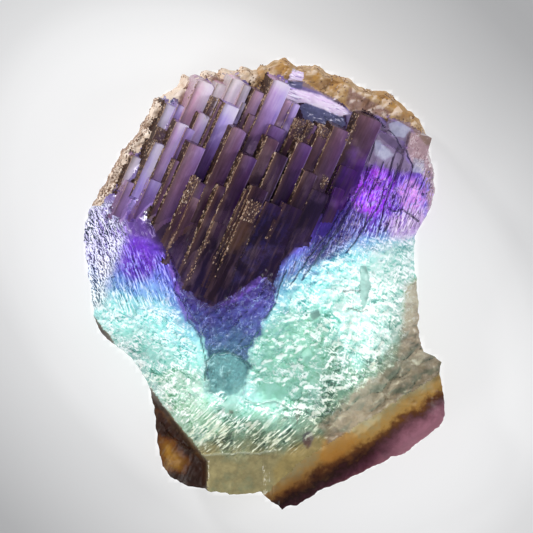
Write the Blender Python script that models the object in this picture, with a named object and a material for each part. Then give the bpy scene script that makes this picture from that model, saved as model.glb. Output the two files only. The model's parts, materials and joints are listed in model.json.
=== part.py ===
"""Fluorite specimen, a cleaved hand piece lying on its back.

One solid: a broken slab of fluorite with a bundle of parallel square growth columns standing
out of its upper front. The crystals grew together, so every column is joined to the slab.
Metres, +Z up. The photographed front looks up, its top edge points along +Y.
"""

import math
import random

import bmesh
import bpy
from mathutils import Vector
from mathutils.geometry import delaunay_2d_cdt

MM = 0.001

# Overall form
CENTRE = (0.0, -6.0)  # mm, the point the outline is seen from without overlap
RIM_LOW = 4.4  # mm, mean height of the lower arris of the broken edge
RIM_HIGH = 9.8  # mm, mean height of the upper arris
CROWN = 17.2  # mm, height of the broken face in the middle
COLUMN_SWELL = 4.6  # mm, extra height under the columns
SWELL_MIDDLE = (-9.0, 1.0)  # mm
SWELL_REACH = (15.0, 13.0)  # mm
SHOULDER = 2.2  # mm, rise of the front under the feet of the left columns
SHOULDER_MIDDLE = (-22.0, 12.0)  # mm
SHOULDER_REACH = 6.0  # mm
LEDGE = 0.9  # mm, how far the wedge the columns grow out of stands above the left flank
UNEVENNESS = 0.6  # mm, how far the fracture surface strays from its mean form
FACET_PITCH = 4.6  # mm between corners of the fracture surface

# Broken edge: it faces down all round except along the top, where it faces up
EDGE_TURNS = 0.35  # sine of the heading at which it stands upright
LOW_SETBACK = 0.055  # share by which the lower arris lies inside the outline where it faces down
HIGH_SETBACK = 0.04  # share by which the upper arris lies inside the outline where it faces up

# Smooth olive cleavage along the foot, a plane that rises towards +Y
CLEAVAGE_START = -34.4  # mm
CLEAVAGE_HEIGHT = 13.4  # mm, at the start
CLEAVAGE_SLOPE = 0.42

# Banded edge at the lower right, a plane that falls away from the front
BAND_START = (1.2, -42.4)  # mm
BAND_HEADING = (0.529, -0.849)
BAND_HEIGHT = 12.4  # mm, at the start
BAND_SLOPE = 0.5

# Amber lobe at the lower left, stepped back behind a slanting line
LOBE_START = (-22.8, -20.4)  # mm
LOBE_HEADING = (-0.786, -0.618)
LOBE_RIGHT_END = -11.0  # mm
LOBE_STEP = 2.6  # mm
LOBE_STEP_WIDTH = 1.6  # mm

# Columns
LEAN = 24.0  # degrees from +Y towards +X
FAN = 0.6  # degrees of lean lost for each mm towards the right flank
TURN = 15.0  # degrees, the square section turned about its own length
TILT = 6.0  # degrees, tips raised towards the viewer
COLUMN_DEPTH = 7.5  # mm
FOOT_SLANT = 4.5  # mm, the broken lower end runs back this far over the depth
SUNK = 0.7  # mm, how far the faces lie under the front at their feet
REACH_ON = 3.0  # mm, how far the columns run on under the front
TUCK = 0.35  # mm, how far a column reaches under its right neighbour
RIM_END_DEPTH = 6.6  # mm
FIELD_OFFSET = Vector((0.0, -0.3, 0.0))  # mm, origin of the column layout

# Outline of the specimen seen from the front, mm, anticlockwise from the left corner
OUTLINE = (
    (-36.2, 9.8), (-35.7, 6.6), (-35.0, 0.0), (-34.2, -5.2), (-33.6, -8.2), (-31.6, -11.2),
    (-28.6, -13.3), (-25.5, -16.4), (-23.0, -21.0), (-21.9, -26.0), (-21.4, -32.2),
    (-20.4, -36.8), (-18.4, -39.3), (-15.3, -40.8), (-11.8, -41.4), (-9.2, -42.1),
    (-5.1, -42.4), (-0.5, -42.1), (1.5, -43.9), (3.6, -45.3), (6.6, -44.4), (9.7, -42.6),
    (12.0, -41.3), (17.9, -38.8), (24.5, -35.7), (29.1, -33.7), (32.2, -30.9),
    (35.2, -28.9), (36.2, -26.6), (36.1, -22.5), (35.2, -18.9), (35.5, -15.8),
    (34.2, -14.7), (32.2, -13.8), (31.1, -10.7), (30.9, -7.2), (30.6, -1.0), (30.1, 6.6),
    (30.4, 9.4), (31.6, 11.8), (33.2, 14.4), (34.2, 18.0), (34.2, 23.0), (33.2, 26.2),
    (32.6, 29.8), (31.2, 32.8), (28.0, 35.8), (25.0, 38.4), (20.4, 38.9), (16.8, 41.2),
    (13.2, 42.0), (10.2, 43.8), (6.6, 43.5), (4.1, 45.3), (1.6, 44.5), (-1.0, 43.0),
    (-5.1, 43.0), (-7.6, 42.0), (-10.2, 42.5), (-14.3, 41.5), (-18.4, 38.9),
    (-21.9, 36.9), (-23.5, 33.8), (-25.5, 29.8), (-28.6, 26.6), (-30.6, 22.6),
    (-33.2, 17.5), (-35.2, 14.4),
)

# Left part of the wedge that the columns grow out of, mm
WEDGE = (
    (-28.8, 16.6), (-25.6, 11.4), (-18.6, 5.2), (-17.4, -1.8), (-12.0, -13.8), (-4.0, -12.6),
    (-4.0, 38.0), (-12.8, 36.6), (-22.8, 30.6),
)

# Flat cleavage face underneath, as outline index and corner in mm
UNDERSIDE = (
    (2, (-25.5, -1.0)),
    (8, (-16.5, -17.5)),
    (13, (-11.0, -33.0)),
    (20, (5.0, -36.0)),
    (27, (25.0, -24.0)),
    (36, (23.5, -4.0)),
    (42, (25.5, 16.5)),
    (47, (17.5, 30.5)),
    (56, (-5.0, 35.0)),
    (62, (-16.5, 27.0)),
)

# Columns: left edge, right edge, tip, foot (mm across and along the lean), and how far the
# face at the foot lies over the broken front
LEFT_COLUMNS = (
    (-34.4, -32.9, 13.0, 4.0, 0.6),
    (-33.2, -29.8, 7.9, -1.0, 1.0),
    (-32.5, -30.4, 25.2, 16.0, 0.8),
    (-30.3, -29.1, 26.0, 14.0, 0.4),
    (-32.2, -30.0, 20.0, 12.0, 1.3),
    (-31.5, -29.5, 17.3, 4.0, 1.2),
    (-29.3, -26.9, 10.2, 0.0, 1.1),
    (-29.2, -26.7, 22.8, 6.0, 0.6),
    (-26.9, -25.2, 22.5, 8.0, 0.5),
)
UPPER_COLUMNS = (
    (-28.6, -25.3, 32.3, 15.0, 0.6),
    (-25.8, -23.7, 26.3, 11.0, 1.1),
    (-24.9, -21.0, 33.2, 24.0, 0.4),
    (-22.6, -19.8, 35.4, 24.0, 0.7),
    (-19.9, -18.6, 35.0, 22.0, 0.4),
    (-24.6, -23.4, 30.1, 14.0, 0.6),
    (-23.1, -22.2, 29.9, 13.0, 0.5),
    (-21.9, -19.0, 30.0, 9.0, 0.6),
    (-18.8, -18.0, 31.6, 22.0, 0.4),
    (-18.6, -15.7, 26.4, 4.0, 0.5),
    (-17.6, -15.3, 34.8, 18.0, 0.3),
    (-16.5, -15.1, 30.0, 16.0, 0.5),
    (-14.9, -11.4, 38.4, 15.0, 0.6),
    (-14.5, -11.6, 22.2, 0.0, 0.4),
    (-11.9, -8.6, 29.8, 14.0, 0.2),
    (-11.4, -9.0, 27.2, 7.0, 0.5),
    (-11.3, -9.4, 35.6, 20.0, 0.2),
    (-9.5, -8.2, 35.6, 20.0, 0.5),
    (-8.6, -6.1, 25.0, 5.0, 0.4),
    (-7.6, -5.0, 33.0, 16.0, 0.3),
    (-4.9, -3.4, 33.2, 16.0, 0.6),
    (-5.4, -2.6, 29.0, 7.0, 0.4),
    (-3.4, -2.4, 31.4, 13.0, 0.4),
    (-2.5, -0.2, 33.6, 11.0, 0.4),
    (-1.9, 0.6, 24.2, 3.0, 0.6),
    (-0.1, 3.2, 34.6, 10.0, 0.4),
    (3.4, 8.2, 39.0, 19.0, 0.4),
    (4.2, 7.6, 28.2, 16.0, 0.3),
)
FRONT_COLUMNS = (
    (-26.3, -25.1, 15.6, 2.0, 0.5),
    (-25.0, -21.9, 19.9, 1.0, 0.6),
    (-21.8, -20.2, 14.1, 1.0, 0.6),
    (-20.4, -18.7, 13.5, 0.0, 0.2),
    (-20.2, -16.4, 10.4, -5.0, 0.5),
    (-16.3, -14.1, 14.6, -5.0, 0.4),
    (-14.2, -11.0, 7.6, -8.0, 0.5),
    (-11.0, -10.1, 16.0, -2.0, 0.3),
    (-10.2, -7.0, 17.2, -2.0, 0.4),
    (-9.5, -6.8, 14.1, -4.0, 0.8),
    (-6.4, -3.1, 15.4, -3.0, 0.4),
    (-2.9, 0.8, 16.6, -2.0, 0.4),
    (1.0, 4.3, 21.5, 7.0, 0.4),
)
RIGHT_BLOCKS = (
    (8.5, 13.0, 37.3, 26.0, 1.2),
    (9.9, 14.0, 40.5, 31.0, 0.7),
    (10.3, 13.1, 35.2, 24.0, 1.6),
    (13.4, 14.7, 34.8, 23.0, 1.2),
    (14.7, 18.8, 39.9, 28.0, 0.8),
    (15.0, 17.1, 36.6, 24.0, 1.0),
    (17.5, 20.6, 34.6, 25.0, 0.6),
    (5.2, 7.2, 23.6, 9.0, 0.5),
)
# Ends of the columns along the upper rim: left edge, right edge, tip, foot, top face height
RIM_ENDS = (
    (-30.5, -27.4, 31.3, 24.0, 10.6),
    (-27.2, -24.6, 33.9, 25.0, 10.0),
    (-24.2, -20.8, 35.8, 27.0, 10.9),
    (-20.6, -17.6, 37.6, 29.0, 10.4),
    (-17.4, -14.8, 39.6, 30.0, 11.2),
    (-14.6, -11.8, 41.2, 31.0, 10.7),
    (-11.6, -7.9, 41.6, 32.0, 11.3),
    (-7.6, -3.4, 42.7, 33.0, 10.9),
    (-3.0, 0.4, 42.4, 33.0, 11.6),
    (0.8, 4.8, 42.8, 33.0, 10.8),
    (5.1, 9.0, 42.6, 33.0, 11.4),
    (9.4, 13.4, 41.9, 33.0, 10.5),
)


def blend(low, high, value):
    """Smooth step from nought at low to one at high."""
    share = min(max((value - low) / (high - low), 0.0), 1.0)
    return share * share * (3.0 - 2.0 * share)


def rim_low(angle):
    return RIM_LOW + 1.1 * math.cos(2.0 * angle + 0.7) + 0.7 * math.cos(5.0 * angle)


def rim_high(angle):
    return RIM_HIGH + 1.1 * math.sin(angle) + 0.8 * math.cos(4.0 * angle + 1.0)


def past_line(x, y, start, heading):
    """How far a place lies beyond a line through start, square to heading, mm."""
    return heading[0] * (x - start[0]) + heading[1] * (y - start[1])


def on_wedge(x, y):
    """Whether a place lies on the wedge that the columns grow out of."""
    inside = False
    for (ax, ay), (bx, by) in zip(WEDGE, WEDGE[1:] + WEDGE[:1]):
        if (ay > y) != (by > y) and x < ax + (y - ay) / (by - ay) * (bx - ax):
            inside = not inside
    return inside


def face_height(x, y, fraction, angle):
    """Height of the broken front face, mm, at a share of the way out to the rim."""
    inward = 1.0 - fraction**2.4
    height = rim_high(angle) * (1.0 - inward) + CROWN * inward
    spread = ((x - SWELL_MIDDLE[0]) / SWELL_REACH[0]) ** 2
    spread += ((y - SWELL_MIDDLE[1]) / SWELL_REACH[1]) ** 2
    height += COLUMN_SWELL * math.exp(-spread)
    away = math.hypot(x - SHOULDER_MIDDLE[0], y - SHOULDER_MIDDLE[1]) / SHOULDER_REACH
    height += SHOULDER * math.exp(-away * away)
    if on_wedge(x, y):
        height += LEDGE * (1.0 - 0.9 * blend(-10.0, -4.0, x))
    height = min(height, CLEAVAGE_HEIGHT + CLEAVAGE_SLOPE * (y - CLEAVAGE_START))
    height = min(height, BAND_HEIGHT - BAND_SLOPE * past_line(x, y, BAND_START, BAND_HEADING))
    on_lobe = min(past_line(x, y, LOBE_START, LOBE_HEADING), LOBE_RIGHT_END - x)
    return height - LOBE_STEP * blend(0.0, LOBE_STEP_WIDTH, on_lobe)


def way_out(x, y):
    """Angle round CENTRE and the share of the way from CENTRE to the outline."""
    heading = Vector((x - CENTRE[0], y - CENTRE[1]))
    for (ax, ay), (bx, by) in zip(OUTLINE, OUTLINE[1:] + OUTLINE[:1]):
        start = Vector((ax - CENTRE[0], ay - CENTRE[1]))
        run = Vector((bx - ax, by - ay))
        turn = heading.cross(run)
        if turn > 0.0 and start.cross(heading) >= 0.0 >= (start + run).cross(heading):
            return math.atan2(heading.y, heading.x), turn / start.cross(run)
    return 0.0, 0.0


def slab_outline(chance):
    """Flat underside corners, then the low and high arrises of the broken edge."""
    count = len(OUTLINE)
    floor_ring = [None] * count
    for place, (index, corner) in enumerate(UNDERSIDE):
        next_index, next_corner = UNDERSIDE[(place + 1) % len(UNDERSIDE)]
        steps = (next_index - index) % count
        for step in range(steps):
            spot = Vector(corner).lerp(Vector(next_corner), step / steps)
            floor_ring[(index + step) % count] = Vector((spot.x, spot.y, 0.0))

    low_ring = []
    high_ring = []
    for edge_x, edge_y in OUTLINE:
        angle = math.atan2(edge_y - CENTRE[1], edge_x - CENTRE[0])
        # the broken edge leans in or out, and its outermost line is the outline
        overhang = EDGE_TURNS - math.sin(angle)
        low = 1.0 - LOW_SETBACK * max(overhang, 0.0)
        high = 1.0 - HIGH_SETBACK * max(-overhang, 0.0)
        reach = Vector((edge_x - CENTRE[0], edge_y - CENTRE[1]))
        x, y = Vector(CENTRE) + reach * low
        low_ring.append(Vector((x, y, rim_low(angle) + chance.uniform(-0.5, 0.5))))
        x, y = Vector(CENTRE) + reach * high
        high_ring.append(Vector((x, y, face_height(x, y, high, angle))))
    return floor_ring, low_ring, high_ring


def fracture_corners(chance):
    """Corners of the uneven front face on a scattered triangular layout."""
    corners = []
    rows = int(94.0 / (FACET_PITCH * 0.866))
    for row in range(rows):
        for place in range(int(76.0 / FACET_PITCH)):
            x = -37.0 + (place + 0.5 * (row % 2)) * FACET_PITCH + chance.uniform(-1.2, 1.2)
            y = -46.0 + row * FACET_PITCH * 0.866 + chance.uniform(-1.2, 1.2)
            angle, share = way_out(x, y)
            if share < 0.91:
                stray = chance.uniform(-UNEVENNESS, UNEVENNESS)
                corners.append(Vector((x, y, face_height(x, y, share, angle) + stray)))
    return corners


def broken_slab():
    """Closed slab: flat underside, broken edge and the fractured front face."""
    chance = random.Random(29)
    shape = bmesh.new()
    outlines = slab_outline(chance)
    rings = [[shape.verts.new(spot) for spot in ring] for ring in outlines]
    count = len(OUTLINE)
    for lower, upper in zip(rings, rings[1:]):
        for place in range(count):
            after = (place + 1) % count
            shape.faces.new((lower[place], lower[after], upper[after], upper[place]))
    shape.faces.new(list(reversed(rings[0])))
    bmesh.ops.triangulate(shape, faces=[f for f in shape.faces if len(f.verts) == 4])

    inner = fracture_corners(chance)
    spots = [spot.xy for spot in outlines[2]] + [spot.xy for spot in inner]
    face_verts = rings[2] + [shape.verts.new(spot) for spot in inner]
    border = [list(range(count))]
    _, _, triangles, _, _, _ = delaunay_2d_cdt(spots, [], border, 1, 1e-6)
    for triangle in triangles:
        shape.faces.new([face_verts[index] for index in triangle])
    return shape


def tip_height(left, right, tip, foot, lift):
    """Height of a column's leading edge at its tip, mm, if its face meets the front at its foot."""
    layout = math.radians(LEAN)
    across = 0.5 * (left + right)
    x = across * math.cos(layout) + foot * math.sin(layout)
    y = foot * math.cos(layout) - across * math.sin(layout) + FIELD_OFFSET.y
    angle, share = way_out(x, y)
    rise = (tip - foot) * math.tan(math.radians(TILT))
    return face_height(x, y, share, angle) + rise + lift - SUNK


def add_column(shape, left, right, tip, foot, height, depth):
    """One square column: tip square to its length, foot buried in the slab."""
    lean = math.radians(LEAN - FAN * max(left - 2.0, 0.0))
    turn = math.radians(TURN)
    tilt = math.radians(TILT)
    layout = math.radians(LEAN)
    flat = Vector((math.sin(lean), math.cos(lean), 0.0))
    length = (flat * math.cos(tilt) + Vector((0.0, 0.0, math.sin(tilt)))).normalized()
    side = Vector((math.cos(lean), -math.sin(lean), 0.0))
    rise = side.cross(length)
    normal = rise * math.cos(turn) + side * math.sin(turn)
    across = side * math.cos(turn) - rise * math.sin(turn)

    corner = Vector((
        left * math.cos(layout) + tip * math.sin(layout),
        tip * math.cos(layout) - left * math.sin(layout),
        height,
    )) + FIELD_OFFSET
    width = (right - left) / math.cos(turn)
    reach = (tip - foot) / math.cos(tilt)
    corners = [
        shape.verts.new(corner + across * a - length * b - normal * c)
        for c, end in ((0.0, reach - FOOT_SLANT), (depth, reach))
        for b in (0.0, end)
        for a in (0.0, width)
    ]
    for quad in ((0, 2, 3, 1), (4, 5, 7, 6), (0, 1, 5, 4), (2, 6, 7, 3), (0, 4, 6, 2), (1, 3, 7, 5)):
        shape.faces.new([corners[i] for i in quad])


def placed_object(name, shape, material):
    bmesh.ops.scale(shape, vec=(MM, MM, MM), verts=shape.verts)
    bmesh.ops.recalc_face_normals(shape, faces=shape.faces)
    data = bpy.data.meshes.new(name)
    shape.to_mesh(data)
    shape.free()
    data.materials.append(material)
    thing = bpy.data.objects.new(name, data)
    bpy.context.scene.collection.objects.link(thing)
    return thing


def fluorite_material():
    material = bpy.data.materials.new("zoned_fluorite")
    material.use_nodes = True
    shader = material.node_tree.nodes["Principled BSDF"]
    shader.inputs["Base Color"].default_value = (0.42, 0.36, 0.62, 1.0)
    shader.inputs["Roughness"].default_value = 0.22
    shader.inputs["IOR"].default_value = 1.434
    return material


for thing in list(bpy.data.objects):
    bpy.data.objects.remove(thing, do_unlink=True)

fluorite = fluorite_material()
specimen = placed_object("fluorite_specimen", broken_slab(), fluorite)

columns = [
    (row[0], row[1] + TUCK, row[2], row[3] - REACH_ON, tip_height(*row), COLUMN_DEPTH)
    for row in LEFT_COLUMNS + UPPER_COLUMNS + FRONT_COLUMNS
]
columns += [(*row[:4], tip_height(*row), COLUMN_DEPTH) for row in RIGHT_BLOCKS]
columns += [(*row, RIM_END_DEPTH) for row in RIM_ENDS]
for number, numbers in enumerate(columns, 1):
    shape = bmesh.new()
    add_column(shape, *numbers)
    column = placed_object(f"column_{number:02d}", shape, fluorite)
    column.display_type = "WIRE"
    column.hide_render = True
    joint = specimen.modifiers.new(f"column_{number:02d}", "BOOLEAN")
    joint.operation = "UNION"
    joint.solver = "EXACT"
    joint.object = column
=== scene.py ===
"""Looks of the fluorite specimen: a colour-zoned slab with growth columns, lying on its back.

Lengths are in millimetres until a mesh is made. The photographed front looks up (+Z), and
the photograph's up is +Y. Places read off the photograph are in its pixels and named so.
"""

import json
import math

import bmesh
import bpy
import numpy as np
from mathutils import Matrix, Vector

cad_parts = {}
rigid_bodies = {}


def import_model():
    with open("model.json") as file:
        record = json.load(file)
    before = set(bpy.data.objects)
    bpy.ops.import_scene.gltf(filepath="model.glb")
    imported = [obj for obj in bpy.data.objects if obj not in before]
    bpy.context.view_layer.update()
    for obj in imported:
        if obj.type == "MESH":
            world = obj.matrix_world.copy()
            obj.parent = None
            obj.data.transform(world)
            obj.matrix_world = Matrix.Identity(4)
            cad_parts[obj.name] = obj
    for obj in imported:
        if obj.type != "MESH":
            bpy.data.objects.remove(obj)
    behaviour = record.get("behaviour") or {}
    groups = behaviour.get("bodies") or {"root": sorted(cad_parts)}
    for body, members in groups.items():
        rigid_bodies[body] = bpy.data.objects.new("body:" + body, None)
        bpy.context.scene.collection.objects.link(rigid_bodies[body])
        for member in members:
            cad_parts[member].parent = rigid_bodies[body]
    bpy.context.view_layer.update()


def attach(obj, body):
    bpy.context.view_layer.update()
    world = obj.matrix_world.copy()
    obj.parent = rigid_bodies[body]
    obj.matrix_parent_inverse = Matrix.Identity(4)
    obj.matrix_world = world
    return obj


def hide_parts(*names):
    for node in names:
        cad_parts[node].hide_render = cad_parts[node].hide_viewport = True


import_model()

MM = 0.001
FLUORITE_IOR = 1.434
LIGHT_SIDE = (-0.37, 0.93)  # the light of the painted relief comes from the upper left
PIXEL = 0.2  # mm on the specimen for one pixel of the photograph
PHOTO_MIDDLE = (264.0, 283.0)  # the pixel over the origin

# Overall form, as the solid has it
CENTRE = (0.0, -6.0)
RIM_LOW = 4.4
RIM_HIGH = 9.8
CROWN = 17.2
COLUMN_SWELL = 4.6
SWELL_MIDDLE = (-9.0, 1.0)
SWELL_REACH = (15.0, 13.0)
FOOT_TOP = 13.4  # height of the olive cleavage where it meets the fracture
BAND_TOP = 12.4  # height of the banded edge at its inner line
LOBE_STEP = 2.6
FRONT_PITCH = 0.27  # spacing of the corners of the front's fine relief
BACK_PITCH = 0.62
EDGE_PITCH = 0.45

# Columns, as the solid has them
LEAN = math.radians(24.0)
FAN = math.radians(0.6)  # lean lost for each mm towards the right flank
TURN = math.radians(15.0)
TILT = math.radians(6.0)
COLUMN_DEPTH = 7.5
TUCK = 0.35  # how far a column reaches under its right neighbour
FOOT_SLANT = 4.5
SHOULDER = 2.2  # rise of the front under the feet of the left columns
SHOULDER_MIDDLE = (-22.0, 12.0)
SHOULDER_REACH = 6.0
LEDGE = 0.9
SUNK = 0.7  # how far the faces lie under the front at their feet
REACH_ON = 3.0  # and how far they run on under it
FIELD_OFFSET = np.array((0.0, -0.3, 0.0))

# Outline of the specimen seen from the front, mm, anticlockwise from the left corner
OUTLINE = (
    (-36.2, 9.8), (-35.7, 6.6), (-35.0, 0.0), (-34.2, -5.2), (-33.6, -8.2), (-31.6, -11.2),
    (-28.6, -13.3), (-25.5, -16.4), (-23.0, -21.0), (-21.9, -26.0), (-21.4, -32.2),
    (-20.4, -36.8), (-18.4, -39.3), (-15.3, -40.8), (-11.8, -41.4), (-9.2, -42.1),
    (-5.1, -42.4), (-0.5, -42.1), (1.5, -43.9), (3.6, -45.3), (6.6, -44.4), (9.7, -42.6),
    (12.0, -41.3), (17.9, -38.8), (24.5, -35.7), (29.1, -33.7), (32.2, -30.9),
    (35.2, -28.9), (36.2, -26.6), (36.1, -22.5), (35.2, -18.9), (35.5, -15.8),
    (34.2, -14.7), (32.2, -13.8), (31.1, -10.7), (30.9, -7.2), (30.6, -1.0), (30.1, 6.6),
    (30.4, 9.4), (31.6, 11.8), (33.2, 14.4), (34.2, 18.0), (34.2, 23.0), (33.2, 26.2),
    (32.6, 29.8), (31.2, 32.8), (28.0, 35.8), (25.0, 38.4), (20.4, 38.9), (16.8, 41.2),
    (13.2, 42.0), (10.2, 43.8), (6.6, 43.5), (4.1, 45.3), (1.6, 44.5), (-1.0, 43.0),
    (-5.1, 43.0), (-7.6, 42.0), (-10.2, 42.5), (-14.3, 41.5), (-18.4, 38.9),
    (-21.9, 36.9), (-23.5, 33.8), (-25.5, 29.8), (-28.6, 26.6), (-30.6, 22.6),
    (-33.2, 17.5), (-35.2, 14.4),
)

# Corners of the flat cleavage face underneath, mm
UNDERSIDE = (
    (-25.5, -1.0), (-16.5, -17.5), (-11.0, -33.0), (5.0, -36.0), (25.0, -24.0),
    (23.5, -4.0), (25.5, 16.5), (17.5, 30.5), (-5.0, 35.0), (-16.5, 27.0),
)

# Columns: left edge, right edge, tip, foot (mm across and along the lean), lift over the front
# at the foot, shade at the tip and at the foot (0 palest, 1 nearly black), pinkness (0 blue
# lavender, 1 brownish pink), roundness of the tip, sugar on the narrow side (0 to 1)
COLUMNS = (
    (-34.4, -32.9, 13.0, 4.0, 0.6, 0.02, 0.12, 0.5, 0.2, 0.9),
    (-33.2, -29.8, 7.9, -1.0, 1.0, 0.28, 0.40, 0.3, 0.5, 0.1),
    (-32.5, -30.4, 25.2, 16.0, 0.8, 0.00, 0.03, 0.0, 0.2, 0.8),
    (-30.3, -29.1, 26.0, 14.0, 0.4, 0.27, 0.37, 0.0, 0.2, 0.2),
    (-32.2, -30.0, 20.0, 12.0, 1.3, 0.28, 0.35, 0.9, 0.3, 0.6),
    (-31.5, -29.5, 17.3, 4.0, 1.2, 0.13, 0.22, 0.0, 0.3, 1.0),
    (-29.3, -26.9, 10.2, 0.0, 1.1, 0.30, 0.50, 0.05, 0.3, 0.2),
    (-29.2, -26.7, 22.8, 6.0, 0.6, 0.21, 0.37, 0.4, 0.3, 0.7),
    (-28.6, -25.3, 32.3, 15.0, 0.6, 0.17, 0.33, 0.85, 1.2, 0.1),
    (-26.9, -25.2, 22.5, 8.0, 0.5, 0.35, 0.45, 0.2, 0.2, 0.1),
    (-25.8, -23.7, 26.3, 11.0, 1.1, 0.20, 0.44, 0.45, 0.9, 0.5),
    (-24.9, -21.0, 33.2, 24.0, 0.4, 0.00, 0.05, 1.0, 0.6, 0.2),
    (-22.6, -19.8, 35.4, 24.0, 0.7, 0.05, 0.21, 0.85, 1.0, 0.0),
    (-19.9, -18.6, 35.0, 22.0, 0.4, 0.06, 0.32, 0.6, 0.2, 0.0),
    (-24.6, -23.4, 30.1, 14.0, 0.6, 0.16, 0.48, 0.9, 0.1, 1.0),
    (-23.1, -22.2, 29.9, 13.0, 0.5, 0.31, 0.45, 0.7, 0.1, 1.0),
    (-21.9, -19.0, 30.0, 9.0, 0.6, 0.09, 0.75, 0.0, 0.1, 1.0),
    (-18.8, -18.0, 31.6, 22.0, 0.4, 0.01, 0.40, 0.0, 0.2, 0.0),
    (-18.6, -15.7, 26.4, 4.0, 0.5, 0.48, 0.77, 0.80, 0.7, 1.0),
    (-17.6, -15.3, 34.8, 18.0, 0.3, 0.25, 0.50, 0.8, 0.3, 0.7),
    (-16.5, -15.1, 30.0, 16.0, 0.5, 0.41, 0.55, 0.9, 0.2, 0.6),
    (-14.9, -11.4, 38.4, 15.0, 0.6, 0.09, 0.73, 0.35, 0.9, 1.0),
    (-14.5, -11.6, 22.2, 0.0, 0.4, 0.65, 0.81, 0.55, 0.2, 1.0),
    (-11.9, -8.6, 29.8, 14.0, 0.2, 0.45, 0.61, 0.2, 0.2, 0.2),
    (-11.4, -9.0, 27.2, 7.0, 0.5, 0.62, 0.74, 1.0, 0.3, 1.0),
    (-11.3, -9.4, 35.6, 20.0, 0.2, 0.20, 0.48, 0.8, 0.1, 0.5),
    (-9.5, -8.2, 35.6, 20.0, 0.5, 0.20, 0.50, 0.1, 0.1, 0.3),
    (-8.6, -6.1, 25.0, 5.0, 0.4, 0.78, 0.88, 0.6, 0.2, 1.0),
    (-7.6, -5.0, 33.0, 16.0, 0.3, 0.44, 0.72, 1.0, 0.2, 1.0),
    (-4.9, -3.4, 33.2, 16.0, 0.6, 0.38, 0.66, 0.8, 0.2, 1.0),
    (-5.4, -2.6, 29.0, 7.0, 0.4, 0.56, 0.86, 0.4, 0.2, 1.0),
    (-3.4, -2.4, 31.4, 13.0, 0.4, 0.68, 0.82, 0.8, 0.2, 0.3),
    (-2.5, -0.2, 33.6, 11.0, 0.4, 0.54, 0.86, 1.0, 0.3, 0.9),
    (-1.9, 0.6, 24.2, 3.0, 0.6, 0.80, 0.88, 0.8, 0.2, 0.6),
    (-0.1, 3.2, 34.6, 10.0, 0.4, 0.52, 0.84, 0.75, 0.3, 0.8),
    (3.4, 8.2, 39.0, 19.0, 0.4, 0.58, 0.84, 0.90, 0.8, 0.7),
    (4.2, 7.6, 28.2, 16.0, 0.3, 0.74, 0.84, 0.1, 0.4, 0.1),
    (-26.3, -25.1, 15.6, 2.0, 0.5, 0.44, 0.58, 0.6, 0.2, 1.0),
    (-25.0, -21.9, 19.9, 1.0, 0.6, 0.48, 0.62, 0.65, 0.1, 0.8),
    (-21.8, -20.2, 14.1, 1.0, 0.6, 0.58, 0.72, 0.9, 0.2, 1.0),
    (-20.4, -18.7, 13.5, 0.0, 0.2, 0.70, 0.68, 0.5, 0.1, 0.0),
    (-20.2, -16.4, 10.4, -5.0, 0.5, 0.54, 0.72, 0.9, 0.2, 0.5),
    (-16.3, -14.1, 14.6, -5.0, 0.4, 0.72, 0.88, 0.6, 0.4, 1.0),
    (-14.2, -11.0, 7.6, -8.0, 0.5, 0.80, 0.88, 0.5, 0.2, 0.6),
    (-11.0, -10.1, 16.0, -2.0, 0.3, 0.78, 0.88, 0.7, 0.2, 1.0),
    (-10.2, -7.0, 17.2, -2.0, 0.4, 0.78, 0.88, 0.8, 0.2, 0.8),
    (-9.5, -6.8, 14.1, -4.0, 0.8, 0.72, 0.88, 1.0, 0.1, 1.0),
    (-6.4, -3.1, 15.4, -3.0, 0.4, 0.78, 0.86, 0.2, 0.3, 0.3),
    (-2.9, 0.8, 16.6, -2.0, 0.4, 0.78, 0.84, 0.2, 0.3, 0.2),
    (1.0, 4.3, 21.5, 7.0, 0.4, 0.86, 0.80, 0.2, 0.3, 0.2),
)
# Clear blocks of the right flank: left edge, right edge, tip, foot, lift
CLEAR_BLOCKS = (
    (8.5, 13.0, 37.3, 26.0, 1.2),
    (9.9, 14.0, 40.5, 31.0, 0.7),
    (10.3, 13.1, 35.2, 24.0, 1.6),
    (13.4, 14.7, 34.8, 23.0, 1.2),
    (14.7, 18.8, 39.9, 28.0, 0.8),
    (15.0, 17.1, 36.6, 24.0, 1.0),
    (17.5, 20.6, 34.6, 25.0, 0.6),
    (5.2, 7.2, 23.6, 9.0, 0.5),
)
# Ends of the columns along the upper rim: left edge, right edge, tip, foot, top face height
RIM_ENDS = (
    (-30.5, -27.4, 31.3, 24.0, 10.6),
    (-27.2, -24.6, 33.9, 25.0, 10.0),
    (-24.2, -20.8, 35.8, 27.0, 10.9),
    (-20.6, -17.6, 37.6, 29.0, 10.4),
    (-17.4, -14.8, 39.6, 30.0, 11.2),
    (-14.6, -11.8, 41.2, 31.0, 10.7),
    (-11.6, -7.9, 41.6, 32.0, 11.3),
    (-7.6, -3.4, 42.7, 33.0, 10.9),
    (-3.0, 0.4, 42.4, 33.0, 11.6),
    (0.8, 4.8, 42.8, 33.0, 10.8),
    (5.1, 9.0, 42.6, 33.0, 11.4),
    (9.4, 13.4, 41.9, 33.0, 10.5),
)
RIM_END_DEPTH = 6.6
# Spacing of a column's corners across, along and into it
COLUMN_PITCHES = (0.7, 1.1, 1.2)
BLOCK_PITCHES = (0.35, 0.35, 1.2)
RIM_PITCHES = (0.5, 0.5, 0.7)

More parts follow.
